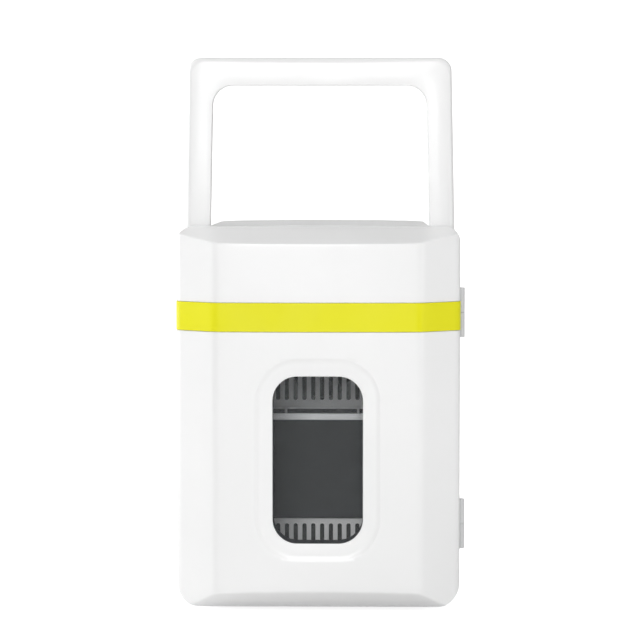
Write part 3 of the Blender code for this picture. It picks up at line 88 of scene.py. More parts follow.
def shader_node(tree, kind, settings=(), **inputs):
    """A new node of that kind. Settings are its own properties; inputs are values or sockets."""
    made = tree.nodes.new("ShaderNode" + kind)
    for key, value in dict(settings).items():
        setattr(made, key, value)
    for key, value in inputs.items():
        socket = made.inputs[key.replace("_", " ")]
        if isinstance(value, bpy.types.NodeSocket):
            tree.links.new(value, socket)
        else:
            socket.default_value = value
    return made


def new_material(name):
    """A material with its node tree and its Principled shader."""
    made = bpy.data.materials.new(name)
    made.use_nodes = True
    return made, made.node_tree, made.node_tree.nodes["Principled BSDF"]


def grid_faces(rows, columns, round_rows=False, round_columns=False):
    """Quads between neighbours of a rows x columns grid; a round direction joins its end to its start."""
    row = np.arange(rows if round_rows else rows - 1)[:, None]
    column = np.arange(columns if round_columns else columns - 1)[None, :]
    next_row, next_column = (row + 1) % rows, (column + 1) % columns
    corners = (row * columns + column, row * columns + next_column,
               next_row * columns + next_column, next_row * columns + column)
    return np.stack(np.broadcast_arrays(*corners), axis=-1).reshape(-1, 4)


def mesh_object(name, points, faces, crease_degrees=35.0):
    """An object from points and quads: doubles merged, faces turned outwards, smooth but for creases."""
    mesh = bpy.data.meshes.new(name)
    mesh.from_pydata(np.asarray(points).reshape(-1, 3), [], np.asarray(faces).tolist())
    shape = bmesh.new()
    shape.from_mesh(mesh)
    bmesh.ops.remove_doubles(shape, verts=shape.verts, dist=1e-6)
    bmesh.ops.dissolve_degenerate(shape, edges=shape.edges, dist=1e-7)
    bmesh.ops.recalc_face_normals(shape, faces=shape.faces)
    shape.to_mesh(mesh)
    shape.free()
    mesh.shade_smooth()
    mesh.set_sharp_from_angle(angle=math.radians(crease_degrees))
    made = bpy.data.objects.new(name, mesh)
    bpy.context.scene.collection.objects.link(made)
    return made


def seamless_floor():
    """A sheet swept along X: flat on the floor, a quarter circle up at the back, then straight up."""
    turn = np.linspace(0.0, math.pi / 2, 24)
    bend_y = FLOOR_BEND_Y + FLOOR_BEND_RADIUS * np.sin(turn)
    bend = np.stack([bend_y, FLOOR_BEND_RADIUS * (1 - np.cos(turn))], 1)
    profile = np.vstack([(FLOOR_FRONT_Y, 0.0), bend, (FLOOR_BEND_Y + FLOOR_BEND_RADIUS, BACKDROP_TOP)])
    across = np.array([-FLOOR_HALF_WIDTH, FLOOR_HALF_WIDTH])
    points = np.empty((len(profile), 2, 3))
    points[..., 0] = across[None, :]
    points[..., 1:] = profile[:, None, :]
    return mesh_object("floor", points, grid_faces(len(profile), 2))


floor_paper, floor_tree, floor_shader = new_material("seamless_paper")
floor_tooth = shader_node(floor_tree, "TexNoise", Scale=180.0, Detail=3.0,
                          Vector=shader_node(floor_tree, "TexCoord").outputs["Object"])
floor_bump = shader_node(floor_tree, "Bump", Strength=0.05, Distance=0.0005,
                         Height=floor_tooth.outputs["Fac"])
floor_tree.links.new(floor_bump.outputs["Normal"], floor_shader.inputs["Normal"])
floor_shader.inputs["Base Color"].default_value = FLOOR_COLOUR
floor_shader.inputs["Roughness"].default_value = 0.9
floor_shader.inputs["Specular IOR Level"].default_value = 0.1
floor_shader.inputs["Emission Color"].default_value = (1.0, 1.0, 1.0, 1.0)
floor_rays = shader_node(floor_tree, "LightPath").outputs["Is Camera Ray"]
floor_glow = shader_node(floor_tree, "MapRange", Value=floor_rays, To_Min=0.0, To_Max=FLOOR_GLOW)
floor_tree.links.new(floor_glow.outputs["Result"], floor_shader.inputs["Emission Strength"])
floor = seamless_floor()
floor.data.materials.append(floor_paper)

world = bpy.data.worlds.new("surround")
world.use_nodes = True
bpy.context.scene.world = world
sky_height = shader_node(world.node_tree, "SeparateXYZ",
                         Vector=shader_node(world.node_tree, "TexCoord").outputs["Generated"])
sky_shade = shader_node(world.node_tree, "MapRange", Value=sky_height.outputs["Z"], From_Min=0.15,
                        From_Max=0.95, To_Min=SURROUND_LEVEL, To_Max=SURROUND_OVERHEAD)
sky_seen = shader_node(world.node_tree, "MapRange", To_Min=0.0, To_Max=SURROUND_SEEN,
                       Value=shader_node(world.node_tree, "LightPath").outputs["Is Camera Ray"])
sky = shader_node(world.node_tree, "Math", {"operation": "MAXIMUM"})
world.node_tree.links.new(sky_shade.outputs["Result"], sky.inputs[0])
world.node_tree.links.new(sky_seen.outputs["Result"], sky.inputs[1])
world.node_tree.links.new(sky.outputs["Value"], world.node_tree.nodes["Background"].inputs["Color"])

for box_name, box in SOFT_BOXES.items():
    light = bpy.data.lights.new(box_name, "AREA")
    light.shape = "RECTANGLE"
    light.size, light.size_y = box["size"]
    light.energy = box["power"]
    lamp = bpy.data.objects.new(box_name, light)
    lamp.location = box["at"]
    aim = Vector(box["aim"]) - lamp.location
    lamp.rotation_euler = aim.to_track_quat("-Z", "Y").to_euler()
    bpy.context.scene.collection.objects.link(lamp)


# Door shell ------------------------------------------------------------------------------------
# The door's outer shell, injection-moulded in glossy white ABS with a wall of 2.5 mm. A slanted brow and
# toe and two slanted facets meet the bowed front in soft edges; a shallow dish surrounds the window.

GLOSS_WHITE = (0.905, 0.905, 0.905, 1.0)
GLOSS_WHITE_SHADE = (0.885, 0.887, 0.885, 1.0)
GLOSS_WHITE_ROUGHNESS = 0.30
SHELL_WALL = 0.0025
DOOR_HALF_FLAT = 0.090
DOOR_BOW = 0.0025
DOOR_FACET_DEPTH = 0.0275
DOOR_FACET_RADII = (0.009, 0.012)
DOOR_TOP_RADIUS = 0.012
DOOR_BASE_RADIUS = 0.020
BROW_DROP = 0.0135
BROW_DEPTH = 0.046
TOE_HEIGHT = 0.016
TOE_DEPTH = 0.022
EDGE_SOFTNESS = 0.0011
DISH_MARGIN = 0.015
DISH_DEPTH = 0.0012
DISH_SLOPE = 0.0050
WINDOW_RIM_RADIUS = 0.0008
PANE_OVERLAP = 0.008
WINDOW_CORNER = 0.0215
GROOVE_GAP = 0.0003
GROOVE_DEPTH = 0.0012
GROOVE_RUNOUT = 0.004
BARREL_GAP = 0.0007
NOTCH_GAP = 0.0003
CUT_START = -0.01
CUT_END = 0.012
SCOOP_RADIUS = 0.010
SCOOP_LEVELS = (0.140, 0.210)
SCOOP_INSET = 0.0005

door_low, door_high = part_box("door_shell")
band_low, band_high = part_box("trim_band")
pane_low, pane_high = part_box("pane_spacer")
hinge_low, hinge_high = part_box("upper_hinge_pin")
HINGE_X = (hinge_low.x + hinge_high.x) / 2
HINGE_Y = (hinge_low.y + hinge_high.y) / 2


def effect_group(name, inputs, outputs):
    """An empty shader node group: inputs are (name, socket kind, default), outputs (name, socket kind)."""
    group = bpy.data.node_groups.new(name, "ShaderNodeTree")
    for label, kind, value in inputs:
        socket = group.interface.new_socket(label, in_out="INPUT", socket_type="NodeSocket" + kind)
        if value is not None:
            socket.default_value = value
    for label, kind in outputs:
        group.interface.new_socket(label, in_out="OUTPUT", socket_type="NodeSocket" + kind)
    return group, group.nodes.new("NodeGroupInput").outputs, group.nodes.new("NodeGroupOutput").inputs


def moulded_skin_group():
    """Skin of a moulding: fine grain as height, slow drift of tone, and patches of gloss left by handling."""
    group, given, result = effect_group(
        "moulded_skin",
        [("Vector", "Vector", None), ("Grain Scale", "Float", 900.0)],
        [("Height", "Float"), ("Tone", "Float"), ("Gloss", "Float")],
    )
    grain = shader_node(group, "TexNoise", Vector=given["Vector"], Scale=given["Grain Scale"], Detail=3.0)
    drift = shader_node(group, "TexNoise", Vector=given["Vector"], Scale=9.0, Detail=2.0, Roughness=0.4)
    tone = shader_node(group, "MapRange", Value=drift.outputs["Fac"], From_Min=0.3, From_Max=0.7)
    hands = shader_node(group, "TexNoise", Vector=given["Vector"], Scale=34.0, Detail=5.0, Distortion=0.6)
    gloss = shader_node(group, "MapRange", Value=hands.outputs["Fac"], From_Min=0.42, From_Max=0.68)
    group.links.new(grain.outputs["Fac"], result["Height"])
    group.links.new(tone.outputs["Result"], result["Tone"])
    group.links.new(gloss.outputs["Result"], result["Gloss"])
    return group


def fine_scratches_group():
    """Hair scratches: noise drawn out along one direction, kept only at its peaks and only in patches."""
    group, given, result = effect_group(
        "fine_scratches", [("Vector", "Vector", None), ("Amount", "Float", 0.3)], [("Mask", "Float")]
    )
    drawn = shader_node(group, "Mapping", Vector=given["Vector"], Rotation=(0.5, 0.9, 0.4),
                        Scale=(1600.0, 60.0, 900.0))
    lines = shader_node(group, "TexNoise", Vector=drawn.outputs["Vector"], Scale=1.0, Detail=1.0)
    peaks = shader_node(group, "MapRange", Value=lines.outputs["Fac"], From_Min=0.66, From_Max=0.74)
    patch = shader_node(group, "TexNoise", Vector=given["Vector"], Scale=22.0, Detail=2.0)
    where = shader_node(group, "MapRange", Value=patch.outputs["Fac"], From_Min=0.5, From_Max=0.7)
    both = shader_node(group, "Math", {"operation": "MULTIPLY"})
    group.links.new(peaks.outputs["Result"], both.inputs[0])
    group.links.new(where.outputs["Result"], both.inputs[1])
    scaled = shader_node(group, "Math", {"operation": "MULTIPLY"})
    group.links.new(both.outputs["Value"], scaled.inputs[0])
    group.links.new(given["Amount"], scaled.inputs[1])
    group.links.new(scaled.outputs["Value"], result["Mask"])
    return group


moulded_skin = moulded_skin_group()
fine_scratches = fine_scratches_group()


def moulded(name, colour, shade, roughness, grain_scale=900.0, grain_depth=0.00002, scratches=0.25,
            specular=0.5, coat=0.0):
    """A moulded plastic: its colour drifts towards shade, handling changes its gloss, its grain is fine."""
    material, tree, shader = new_material(name)
    place = shader_node(tree, "TexCoord").outputs["Object"]
    skin = shader_node(tree, "Group", {"node_tree": moulded_skin}, Vector=place,
                       Grain_Scale=grain_scale).outputs
    hairs = shader_node(tree, "Group", {"node_tree": fine_scratches}, Vector=place,
                        Amount=scratches).outputs
    tint = shader_node(tree, "MixRGB", Fac=skin["Tone"], Color1=colour, Color2=shade)
    tree.links.new(tint.outputs["Color"], shader.inputs["Base Color"])
    handled = shader_node(tree, "MapRange", Value=skin["Gloss"], To_Min=roughness,
                          To_Max=roughness * 1.3)
    rough = shader_node(tree, "Math", {"operation": "ADD"})
    tree.links.new(handled.outputs["Result"], rough.inputs[0])
    tree.links.new(hairs["Mask"], rough.inputs[1])
    tree.links.new(rough.outputs["Value"], shader.inputs["Roughness"])
    grain = shader_node(tree, "Bump", Strength=0.35, Distance=grain_depth, Height=skin["Height"])
    tree.links.new(grain.outputs["Normal"], shader.inputs["Normal"])
    shader.inputs["Specular IOR Level"].default_value = specular
    shader.inputs["Coat Weight"].default_value = coat
    shader.inputs["Coat Roughness"].default_value = 0.08
    return material


def rounded_path(corners, radii, spacing, closed=False):
    """Points about spacing apart on the lines between corners, each corner an arc tangent to both lines."""
    corners = np.asarray(corners, float)
    parts = []
    for index, (corner, radius) in enumerate(zip(corners, radii)):
        if radius == 0:
            parts.append(corner[None])
            continue
        back = corners[index - 1] - corner
        ahead = corners[(index + 1) % len(corners)] - corner
        back, ahead = back / np.linalg.norm(back), ahead / np.linalg.norm(ahead)
        half = math.acos(np.clip(back @ ahead, -1, 1)) / 2
        middle = corner + (back + ahead) / np.linalg.norm(back + ahead) * radius / math.sin(half)
        start = corner + back * radius / math.tan(half) - middle
        end = corner + ahead * radius / math.tan(half) - middle
        sweep = math.pi - 2 * half
        share = np.linspace(0, 1, max(3, math.ceil(radius * sweep / spacing) + 1))[:, None]
        turned = np.sin((1 - share) * sweep) * start + np.sin(share * sweep) * end
        parts.append(middle + turned / math.sin(sweep))
    if closed:
        parts.append(parts[0][:1])
    path = np.concatenate(parts)
    steps = np.diff(path, axis=0)
    counts = np.maximum(1, np.ceil(np.linalg.norm(steps, axis=1) / spacing - 1e-6)).astype(int)
    which = np.repeat(np.arange(len(counts)), counts)
    share = (np.arange(counts.sum()) - np.repeat(np.cumsum(counts) - counts, counts)) / counts[which]
    filled = path[which] + share[:, None] * steps[which]
    return filled if closed else np.vstack([filled, path[-1]])


def path_normals(path):
    """Unit vectors at right angles to a path in a plane, on its right-hand side as it runs."""
    along = np.gradient(path, axis=0)
    right = np.stack([along[:, 1], -along[:, 0]], axis=1)
    return right / np.linalg.norm(right, axis=1)[:, None]


def door_plan_path(spacing=0.0022):
    """The door from above, left rear to right rear, its front pushed out as a parabola between the facets."""
    half, front, rear = door_high.x, door_low.y, door_high.y
    flat_y, facet_y = front + DOOR_BOW, front + DOOR_BOW + DOOR_FACET_DEPTH
    corners = [(-half, rear), (-half, facet_y), (-DOOR_HALF_FLAT, flat_y),
               (DOOR_HALF_FLAT, flat_y), (half, facet_y), (half, rear)]
    path = rounded_path(corners, [0.0, *DOOR_FACET_RADII, *DOOR_FACET_RADII[::-1], 0.0], spacing)
    path[:, 1] -= DOOR_BOW * np.clip(1 - (path[:, 0] / DOOR_HALF_FLAT) ** 2, 0, None)
    return path


def door_levels():
    """Heights of the rows: close together round the corners, on brow and toe, and at the band's groove."""
    low, high = door_low.z, door_high.z
    turn = 1 - np.cos(np.linspace(0, math.pi / 2, 14))
    groove = [band_low.z - GROOVE_GAP - 0.0002, band_low.z - GROOVE_GAP,
              band_high.z + GROOVE_GAP, band_high.z + GROOVE_GAP + 0.0002]
    levels = np.concatenate([
        low + DOOR_BASE_RADIUS * turn,
        np.linspace(low, low + TOE_HEIGHT + 0.004, 26),
        np.arange(low + TOE_HEIGHT + 0.008, high - BROW_DROP - 0.006, 0.0045),
        groove,
        np.linspace(high - BROW_DROP - 0.004, high - BROW_DROP + 0.003, 16),
        np.linspace(high - BROW_DROP + 0.003, high, 30),
        high - DOOR_TOP_RADIUS * turn,
    ])
    return np.unique(levels.round(5))


def smooth_max(a, b, softness):
    """The larger of two values, rounded over where they are nearly equal."""
    return (a + b + np.sqrt((a - b) ** 2 + softness**2)) / 2


def door_skin(plan, levels, inset):
    """The door's form moved inwards by inset. A point of the plan is drawn in to the width that the round
    corners leave at its level, keeps to the facet's plane as it goes, and is pushed back to the slope of
    the brow or the toe where that lies behind it."""
    low, high, front, rear = door_low.z + inset, door_high.z - inset, door_low.y + inset, door_high.y
    share = (levels - levels[0]) / (levels[-1] - levels[0])
    z = low + share * (high - low)
    base_radius, top_radius = DOOR_BASE_RADIUS - inset, DOOR_TOP_RADIUS - inset
    into_base = np.maximum(low + base_radius - z, 0)
    into_top = np.maximum(z - (high - top_radius), 0)
    drawn = (base_radius - np.sqrt(np.maximum(base_radius**2 - into_base**2, 0))
             + top_radius - np.sqrt(np.maximum(top_radius**2 - into_top**2, 0)))
    half = door_high.x - inset
    normals = path_normals(plan)
    groove_low, groove_high = band_low.z - GROOVE_GAP - 0.0001, band_high.z + GROOVE_GAP + 0.0001
    grooved = (z > groove_low) & (z < groove_high) & (inset == 0)
    shift = inset + np.where(grooved, GROOVE_DEPTH, 0.0)
    fade = np.clip((rear - plan[:, 1]) / GROOVE_RUNOUT, 0, 1)[None, :] if inset == 0 else 1.0
    x = plan[None, :, 0] - normals[None, :, 0] * shift[:, None] * fade
    y = np.minimum(plan[None, :, 1] - normals[None, :, 1] * shift[:, None] * fade, rear)
    width_left = (1 - drawn / half)[:, None]
    facet = plan - normals * inset
    side_y = facet[facet[:, 0] > half - 1e-6, 1].min()
    facet = facet[(facet[:, 0] >= 0) & (facet[:, 1] <= side_y)]
    forward = np.interp(np.abs(x) * width_left, *facet.T) - np.interp(np.abs(x), *facet.T)
    y = y + forward * (1 - np.clip((y - side_y) / (rear - side_y), 0, 1))
    brow = front + (z - (high - BROW_DROP)) * BROW_DEPTH / BROW_DROP
    toe = front + (low + TOE_HEIGHT - z) * TOE_DEPTH / TOE_HEIGHT
    y = smooth_max(y, np.maximum(brow, toe)[:, None], EDGE_SOFTNESS)
    skin = np.empty((len(z) + 2, len(plan), 3))
    skin[1:-1, :, 0] = x * width_left
    skin[1:-1, :, 1] = np.minimum(y, rear)
    skin[1:-1, :, 2] = z[:, None]
    skin[0], skin[-1] = skin[1], skin[-2]
    skin[(0, -1), :, 1] = rear
    skin[:, (0, -1), 1] = rear
    return skin


def walled(outer, inner):
    """Points and quads of a closed wall between two grids of the same size, joined round their four edges."""
    rows, columns = outer.shape[:2]
    number = np.arange(rows * columns).reshape(rows, columns)
    edge = np.concatenate([number[0, :-1], number[:-1, -1], number[-1, :0:-1], number[:0:-1, 0]])
    after = np.roll(edge, -1)
    count = rows * columns
    rim = np.stack([edge, after, after + count, edge + count], axis=1)
    faces = grid_faces(rows, columns)
    points = np.concatenate([outer.reshape(-1, 3), inner.reshape(-1, 3)])
    return points, np.vstack([faces, faces + count, rim])


def tube(rings):
    """Points and quads of a closed solid: rings joined one to the next, each end drawn to its middle."""
    ends = [np.broadcast_to(ring.mean(axis=0), ring.shape) for ring in (rings[0], rings[-1])]
    rows = np.concatenate([ends[0][None], rings, ends[1][None]])
    return rows, grid_faces(rows.shape[0], rows.shape[1], round_columns=True)


def window_path(margin, spacing=0.0015):
    """The window's outline grown by margin, as X and Z, all the way round."""
    half = pane_high.x - PANE_OVERLAP + margin
    low, high = pane_low.z + PANE_OVERLAP - margin, pane_high.z - PANE_OVERLAP + margin
    corners = [(-half, low), (half, low), (half, high), (-half, high)]
    return rounded_path(corners, [WINDOW_CORNER + margin] * 4, spacing, closed=True)


def window_cutter():
    """What the window removes: a dish whose border falls as 1 - (1 - t)^2, a small round rim, the hole."""
    turn = np.linspace(0, math.pi / 2, 5)
    share = np.linspace(-0.2, 1.0, 9)
    border = np.stack([DISH_MARGIN - DISH_SLOPE * share, DISH_DEPTH * (1 - (1 - share) ** 2)], 1)
    rim = WINDOW_RIM_RADIUS * np.stack([1 - np.sin(turn), 1 - np.cos(turn)], 1) + (0.0, DISH_DEPTH)
    profile = np.vstack([[(border[0, 0], CUT_START)], border, rim, [(0.0, CUT_END)]])
    outline = window_path(0.0)
    outward = path_normals(np.vstack([outline[-1:], outline, outline[:1]]))[1:-1]
    x, z = (outline[None, :, k] + profile[:, None, 0] * outward[None, :, k] for k in (0, 1))
    front = door_low.y + DOOR_BOW * (x / DOOR_HALF_FLAT) ** 2
    return tube(np.stack([x, front + profile[:, None, 1], z], axis=-1))


def upright(x, y, low, high):
    """Points and quads of an upright bar between two heights, whose section is the ring of points (x, y)."""
    rings = [np.stack([x, y, np.full(len(x), level)], axis=1) for level in (low, high)]
    return tube(np.stack(rings))


def post(x, y, radius, low, high, count=48):
    """Points and quads of an upright round bar, used to cut hollows of its own radius."""
    turn = np.linspace(0, 2 * math.pi, count, endpoint=False)
    return upright(x + radius * np.cos(turn), y + radius * np.sin(turn), low, high)


def scoop_block():
    """The solid corner that the finger scoop is cut from: one wall larger than it, just inside the skin."""
    low_x, high_x = door_low.x + SCOOP_INSET, door_low.x + SCOOP_RADIUS + SHELL_WALL
    low_y, high_y = door_high.y - SCOOP_RADIUS - SHELL_WALL, door_high.y - SCOOP_INSET
    x = np.array([low_x, high_x, high_x, low_x])
    y = np.array([low_y, low_y, high_y, high_y])
    return upright(x, y, SCOOP_LEVELS[0] - SHELL_WALL, SCOOP_LEVELS[1] + SHELL_WALL)


def carve(piece, added, cutters):
    """Joins each added solid to the piece, then cuts each cutter out of it. All are (points, quads)."""
    steps = [("UNION", mesh_object("added", *solid)) for solid in added]
    steps += [("DIFFERENCE", mesh_object("cutter", *solid)) for solid in cutters]
    for operation, tool in steps:
        cut = piece.modifiers.new("cut", "BOOLEAN")
        cut.operation = operation
        cut.object = tool
    bpy.context.view_layer.update()
    carved = bpy.data.meshes.new_from_object(piece.evaluated_get(bpy.context.evaluated_depsgraph_get()))
    piece.modifiers.clear()
    piece.data = carved
    for _, tool in steps:
        bpy.data.objects.remove(tool)
    carved.shade_smooth()
    carved.set_sharp_from_angle(angle=math.radians(35.0))


def hinge_notches():
    """The round notches that the two barrels turn in, from the boxes of their pins."""
    for place in ("upper", "lower"):
        low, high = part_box(f"{place}_hinge_door_leaf")
        yield post(HINGE_X, HINGE_Y, high.x - HINGE_X + BARREL_GAP, low.z - NOTCH_GAP, high.z + NOTCH_GAP)


gloss_white = moulded("gloss_white_abs", GLOSS_WHITE, GLOSS_WHITE_SHADE, GLOSS_WHITE_ROUGHNESS, coat=0.15)

door_plan = door_plan_path()
door_rows = door_levels()
door_face = mesh_object("door_face", *walled(door_skin(door_plan, door_rows, 0.0),
                                             door_skin(door_plan, door_rows, SHELL_WALL)))
scoop = post(door_low.x, door_high.y, SCOOP_RADIUS, *SCOOP_LEVELS)
carve(door_face, [scoop_block()], [window_cutter(), scoop, *hinge_notches()])
door_face.data.materials.append(gloss_white)
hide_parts("door_shell")
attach(door_face, "door")


# Trim band -------------------------------------------------------------------------------------
# A lime strip round the door's front and facets, moulded in gloss ABS and glued into a shallow groove
# so that it stands half a millimetre proud.

LIME = (0.82, 0.79, 0.008, 1.0)
LIME_SHADE = (0.80, 0.77, 0.006, 1.0)
BAND_PROUD = 0.0005
BAND_THICKNESS = 0.0014
BAND_EDGE_RADIUS = 0.0004


def rounded_section(low, high, radius):
    """A rectangle with round corners as (u, v) points, anticlockwise."""
    corners = [low, (high[0], low[1]), high, (low[0], high[1])]
    return rounded_path(corners, [radius] * 4, radius / 2, closed=True)


def band_strip():
    """The band's section carried along the door's plan: its u goes outwards and its v upwards."""
    section = rounded_section((BAND_PROUD - BAND_THICKNESS, band_low.z), (BAND_PROUD, band_high.z),
                              BAND_EDGE_RADIUS)
    kept = door_plan[door_plan[:, 1] < band_high.y]
    path = np.vstack([(kept[0, 0], band_high.y), kept, (kept[-1, 0], band_high.y)])
    outward = path_normals(path)
    x, y = (path[:, None, k] + section[None, :, 0] * outward[:, None, k] for k in (0, 1))
    return tube(np.stack([x, y, np.broadcast_to(section[None, :, 1], x.shape)], axis=-1))


band = mesh_object("lime_band", *band_strip())
band.data.materials.append(moulded("lime_abs", LIME, LIME_SHADE, 0.38, specular=0.3))
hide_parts("trim_band")
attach(band, "door")


# Carry handle ----------------------------------------------------------------------------------
# A U of gloss white ABS, 16 mm thick, that stands between the shoulders and turns on two pins at the
# feet of its legs. Its outer edges are well rounded, its inner ones only broken.

HANDLE_LEG = 0.023
HANDLE_BAR = 0.025
HANDLE_TAPER = 0.003
HANDLE_OUTER_RADIUS = 0.012
HANDLE_INNER_RADIUS = 0.018
HANDLE_OUTER_EDGE = 0.0065
HANDLE_INNER_EDGE = 0.0015

handle_low, handle_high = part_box("carry_handle")
handle_middle_y = (handle_low.y + handle_high.y) / 2
handle_half_thickness = (handle_high.y - handle_low.y) / 2


def handle_side(half_at_foot, top, radius, legs, turns, bars):
    """Half of one edge of the U, from the foot up the leg, round the corner and along to the middle."""
    start = np.array([-half_at_foot, handle_low.z])
    slope = HANDLE_TAPER / (handle_high.z - HANDLE_BAR - handle_low.z)
    corner = np.array([-half_at_foot + slope * (top - handle_low.z), top])
    back = (start - corner) / np.linalg.norm(start - corner)
    ahead = np.array([1.0, 0.0])
    half = math.acos(back @ ahead) / 2
    reach = radius / math.tan(half)
    middle = corner + (back + ahead) / np.linalg.norm(back + ahead) * radius / math.sin(half)
    leg_end, bar_start = corner + back * reach, corner + ahead * reach
    sweep = math.pi - 2 * half
    share = turns[:, None]
    arc = (np.sin((1 - share) * sweep) * (leg_end - middle) + np.sin(share * sweep) * (bar_start - middle))
    arc = middle + arc / math.sin(sweep)
    leg = start + legs[:, None] * (leg_end - start)
    bar = bar_start + bars[:, None] * (np.array([0.0, top]) - bar_start)
    return np.vstack([leg, arc[1:], bar[1:]])


def handle_form():
    """A round-cornered section between the U's outer and inner edges, closed to a half circle at the feet."""
    foot = np.linspace(0, 1, 10)
    leg_length = handle_high.z - handle_low.z - HANDLE_OUTER_RADIUS
    foot_rise = handle_half_thickness * (1 - np.cos(foot * math.pi / 2))
    legs = np.concatenate([foot_rise / leg_length, np.linspace(foot_rise[-1] / leg_length, 1, 14)[1:]])
    turns, bars = np.linspace(0, 1, 14), np.linspace(0, 1, 14)
    outer = handle_side(handle_high.x, handle_high.z, HANDLE_OUTER_RADIUS, legs, turns, bars)
    inner = handle_side(handle_high.x - HANDLE_LEG, handle_high.z - HANDLE_BAR, HANDLE_INNER_RADIUS,
                        legs, turns, bars)
    outer, inner = (np.vstack([edge, edge[-2::-1] * (-1, 1)]) for edge in (outer, inner))
    across = outer - inner
    width = np.linalg.norm(across, axis=1)
    across /= width[:, None]
    middle = (outer + inner) / 2
    rise = np.minimum(outer[:, 1], inner[:, 1]) - handle_low.z
    sunk = 1 - np.clip(rise / handle_half_thickness, 0, 1)
    thick = handle_half_thickness * np.sqrt(np.clip(1 - sunk**2, 0, 1))
    turn = np.linspace(0, 2 * math.pi, 48, endpoint=False) + math.pi / 48
    corner_x, corner_y = np.cos(turn), np.sin(turn)
    edge = np.where(corner_x > 0, HANDLE_OUTER_EDGE, HANDLE_INNER_EDGE)
    radius = np.minimum(edge[None, :], 0.98 * thick[:, None] + 1e-6)
    u = np.sign(corner_x) * (width[:, None] / 2 - radius) + radius * corner_x
    straight = np.maximum(thick[:, None] - radius, 0)
    v = np.sign(corner_y) * straight + np.minimum(radius, thick[:, None]) * corner_y
    x = middle[:, None, 0] + u * across[:, None, 0]
    z = middle[:, None, 1] + u * across[:, None, 1]
    return tube(np.stack([x, handle_middle_y + v, z], axis=-1))


handle = mesh_object("handle_grip", *handle_form())
handle.data.materials.append(gloss_white)
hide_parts("carry_handle")
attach(handle, "handle")


# Cabinet shell, rear cover and hinges -----------------------------------------------------------
# The cabinet's tube-like outer shell in the same gloss white as the door, the matt rear cover with its
# vents, and the two grey moulded hinges. They keep the frame's shapes; shell and hinges have broken edges.

LINER_WHITE = (0.80, 0.81, 0.81, 1.0)
LINER_WHITE_SHADE = (0.77, 0.78, 0.785, 1.0)
HINGE_GREY = (0.68, 0.685, 0.69, 1.0)
HINGE_GREY_SHADE = (0.64, 0.645, 0.65, 1.0)


def dress(material, edge, *names, steps=2):
    """Gives CAD nodes their finish. With no edge their facets are shaded flat. With one, triangles in a
    plane are joined, and edges sharper than 40 degrees are rounded by that radius."""
    for name in names:
        piece = nodes[name]
        piece.data.materials.clear()
        piece.data.materials.append(material)
        piece.data.attributes.remove(piece.data.attributes["custom_normal"])
        piece.data.shade_flat()
        if not edge:
            continue
        piece.data.shade_smooth()
        weld = piece.modifiers.new("weld", "WELD")
        weld.merge_threshold = 1e-6
        flats = piece.modifiers.new("flats", "DECIMATE")
        flats.decimate_type = "DISSOLVE"
        flats.angle_limit = math.radians(0.5)
        rounding = piece.modifiers.new("edges", "BEVEL")
        rounding.width = edge
        rounding.segments = steps
        rounding.limit_method = "ANGLE"
        rounding.angle_limit = math.radians(40)
        rounding.miter_outer = "MITER_ARC"
        piece.modifiers.new("normals", "WEIGHTED_NORMAL")


liner_white = moulded("liner_white_ps", LINER_WHITE, LINER_WHITE_SHADE, 0.42,
                      grain_scale=1400.0, grain_depth=0.00005)
hinge_grey = moulded("hinge_grey_acetal", HINGE_GREY, HINGE_GREY_SHADE, 0.45, grain_scale=1200.0)
dress(gloss_white, 0.0012, "cabinet_shell", steps=3)
dress(liner_white, 0.0, "back_cover", "inner_liner", "door_liner")
dress(hinge_grey, 0.0003, *(f"{place}_hinge_{side}_leaf"
                            for place in ("upper", "lower") for side in ("door", "cabinet")))


# Window ----------------------------------------------------------------------------------------
# Two clear acrylic panes with a dark moulded spacer between them. The panes carry faint smears.

clear_acrylic, clear_tree, clear_shader = new_material("clear_acrylic")
smear_place = shader_node(clear_tree, "TexCoord").outputs["Object"]
smear = shader_node(clear_tree, "TexNoise", Vector=smear_place, Scale=26.0, Detail=5.0, Distortion=1.2)
smear_rough = shader_node(clear_tree, "MapRange", Value=smear.outputs["Fac"], From_Min=0.45, From_Max=0.75,
                          To_Min=0.03, To_Max=0.10)
clear_tree.links.new(smear_rough.outputs["Result"], clear_shader.inputs["Roughness"])
grazing = shader_node(clear_tree, "LayerWeight", Blend=0.25)
clear_alpha = shader_node(clear_tree, "MapRange", Value=grazing.outputs["Fresnel"], To_Min=0.006, To_Max=0.6)
clear_tree.links.new(clear_alpha.outputs["Result"], clear_shader.inputs["Alpha"])
clear_shader.inputs["Base Color"].default_value = (0.80, 0.84, 0.86, 1.0)
dark_plastic = moulded("dark_plastic", (0.045, 0.045, 0.05, 1.0), (0.06, 0.06, 0.065, 1.0), 0.42)
dress(clear_acrylic, 0.0002, "outer_pane", "inner_pane", "shelf")
dress(dark_plastic, 0.0003, "pane_spacer")


# Air duct --------------------------------------------------------------------------------------
# What shows through the window on the cavity's back wall: two slotted covers in light grey plastic, a
# dark anodised cold plate between them, and the satin rail that stands under the upper cover. Painted
# shade: the duct is coloured near black inside so that its slots read dark.

DUCT_GREY = (0.84, 0.845, 0.85, 1.0)
DUCT_GREY_SHADE = (0.81, 0.815, 0.82, 1.0)
# Painted shade: the colour given to the inside of the duct, behind its slots.
DUCT_PAINTED_SHADE = (0.012, 0.012, 0.012, 1.0)
DUCT_RIM = 0.0015
DUCT_FACE = 0.0005
DUCT_BACK_REACH = 0.006


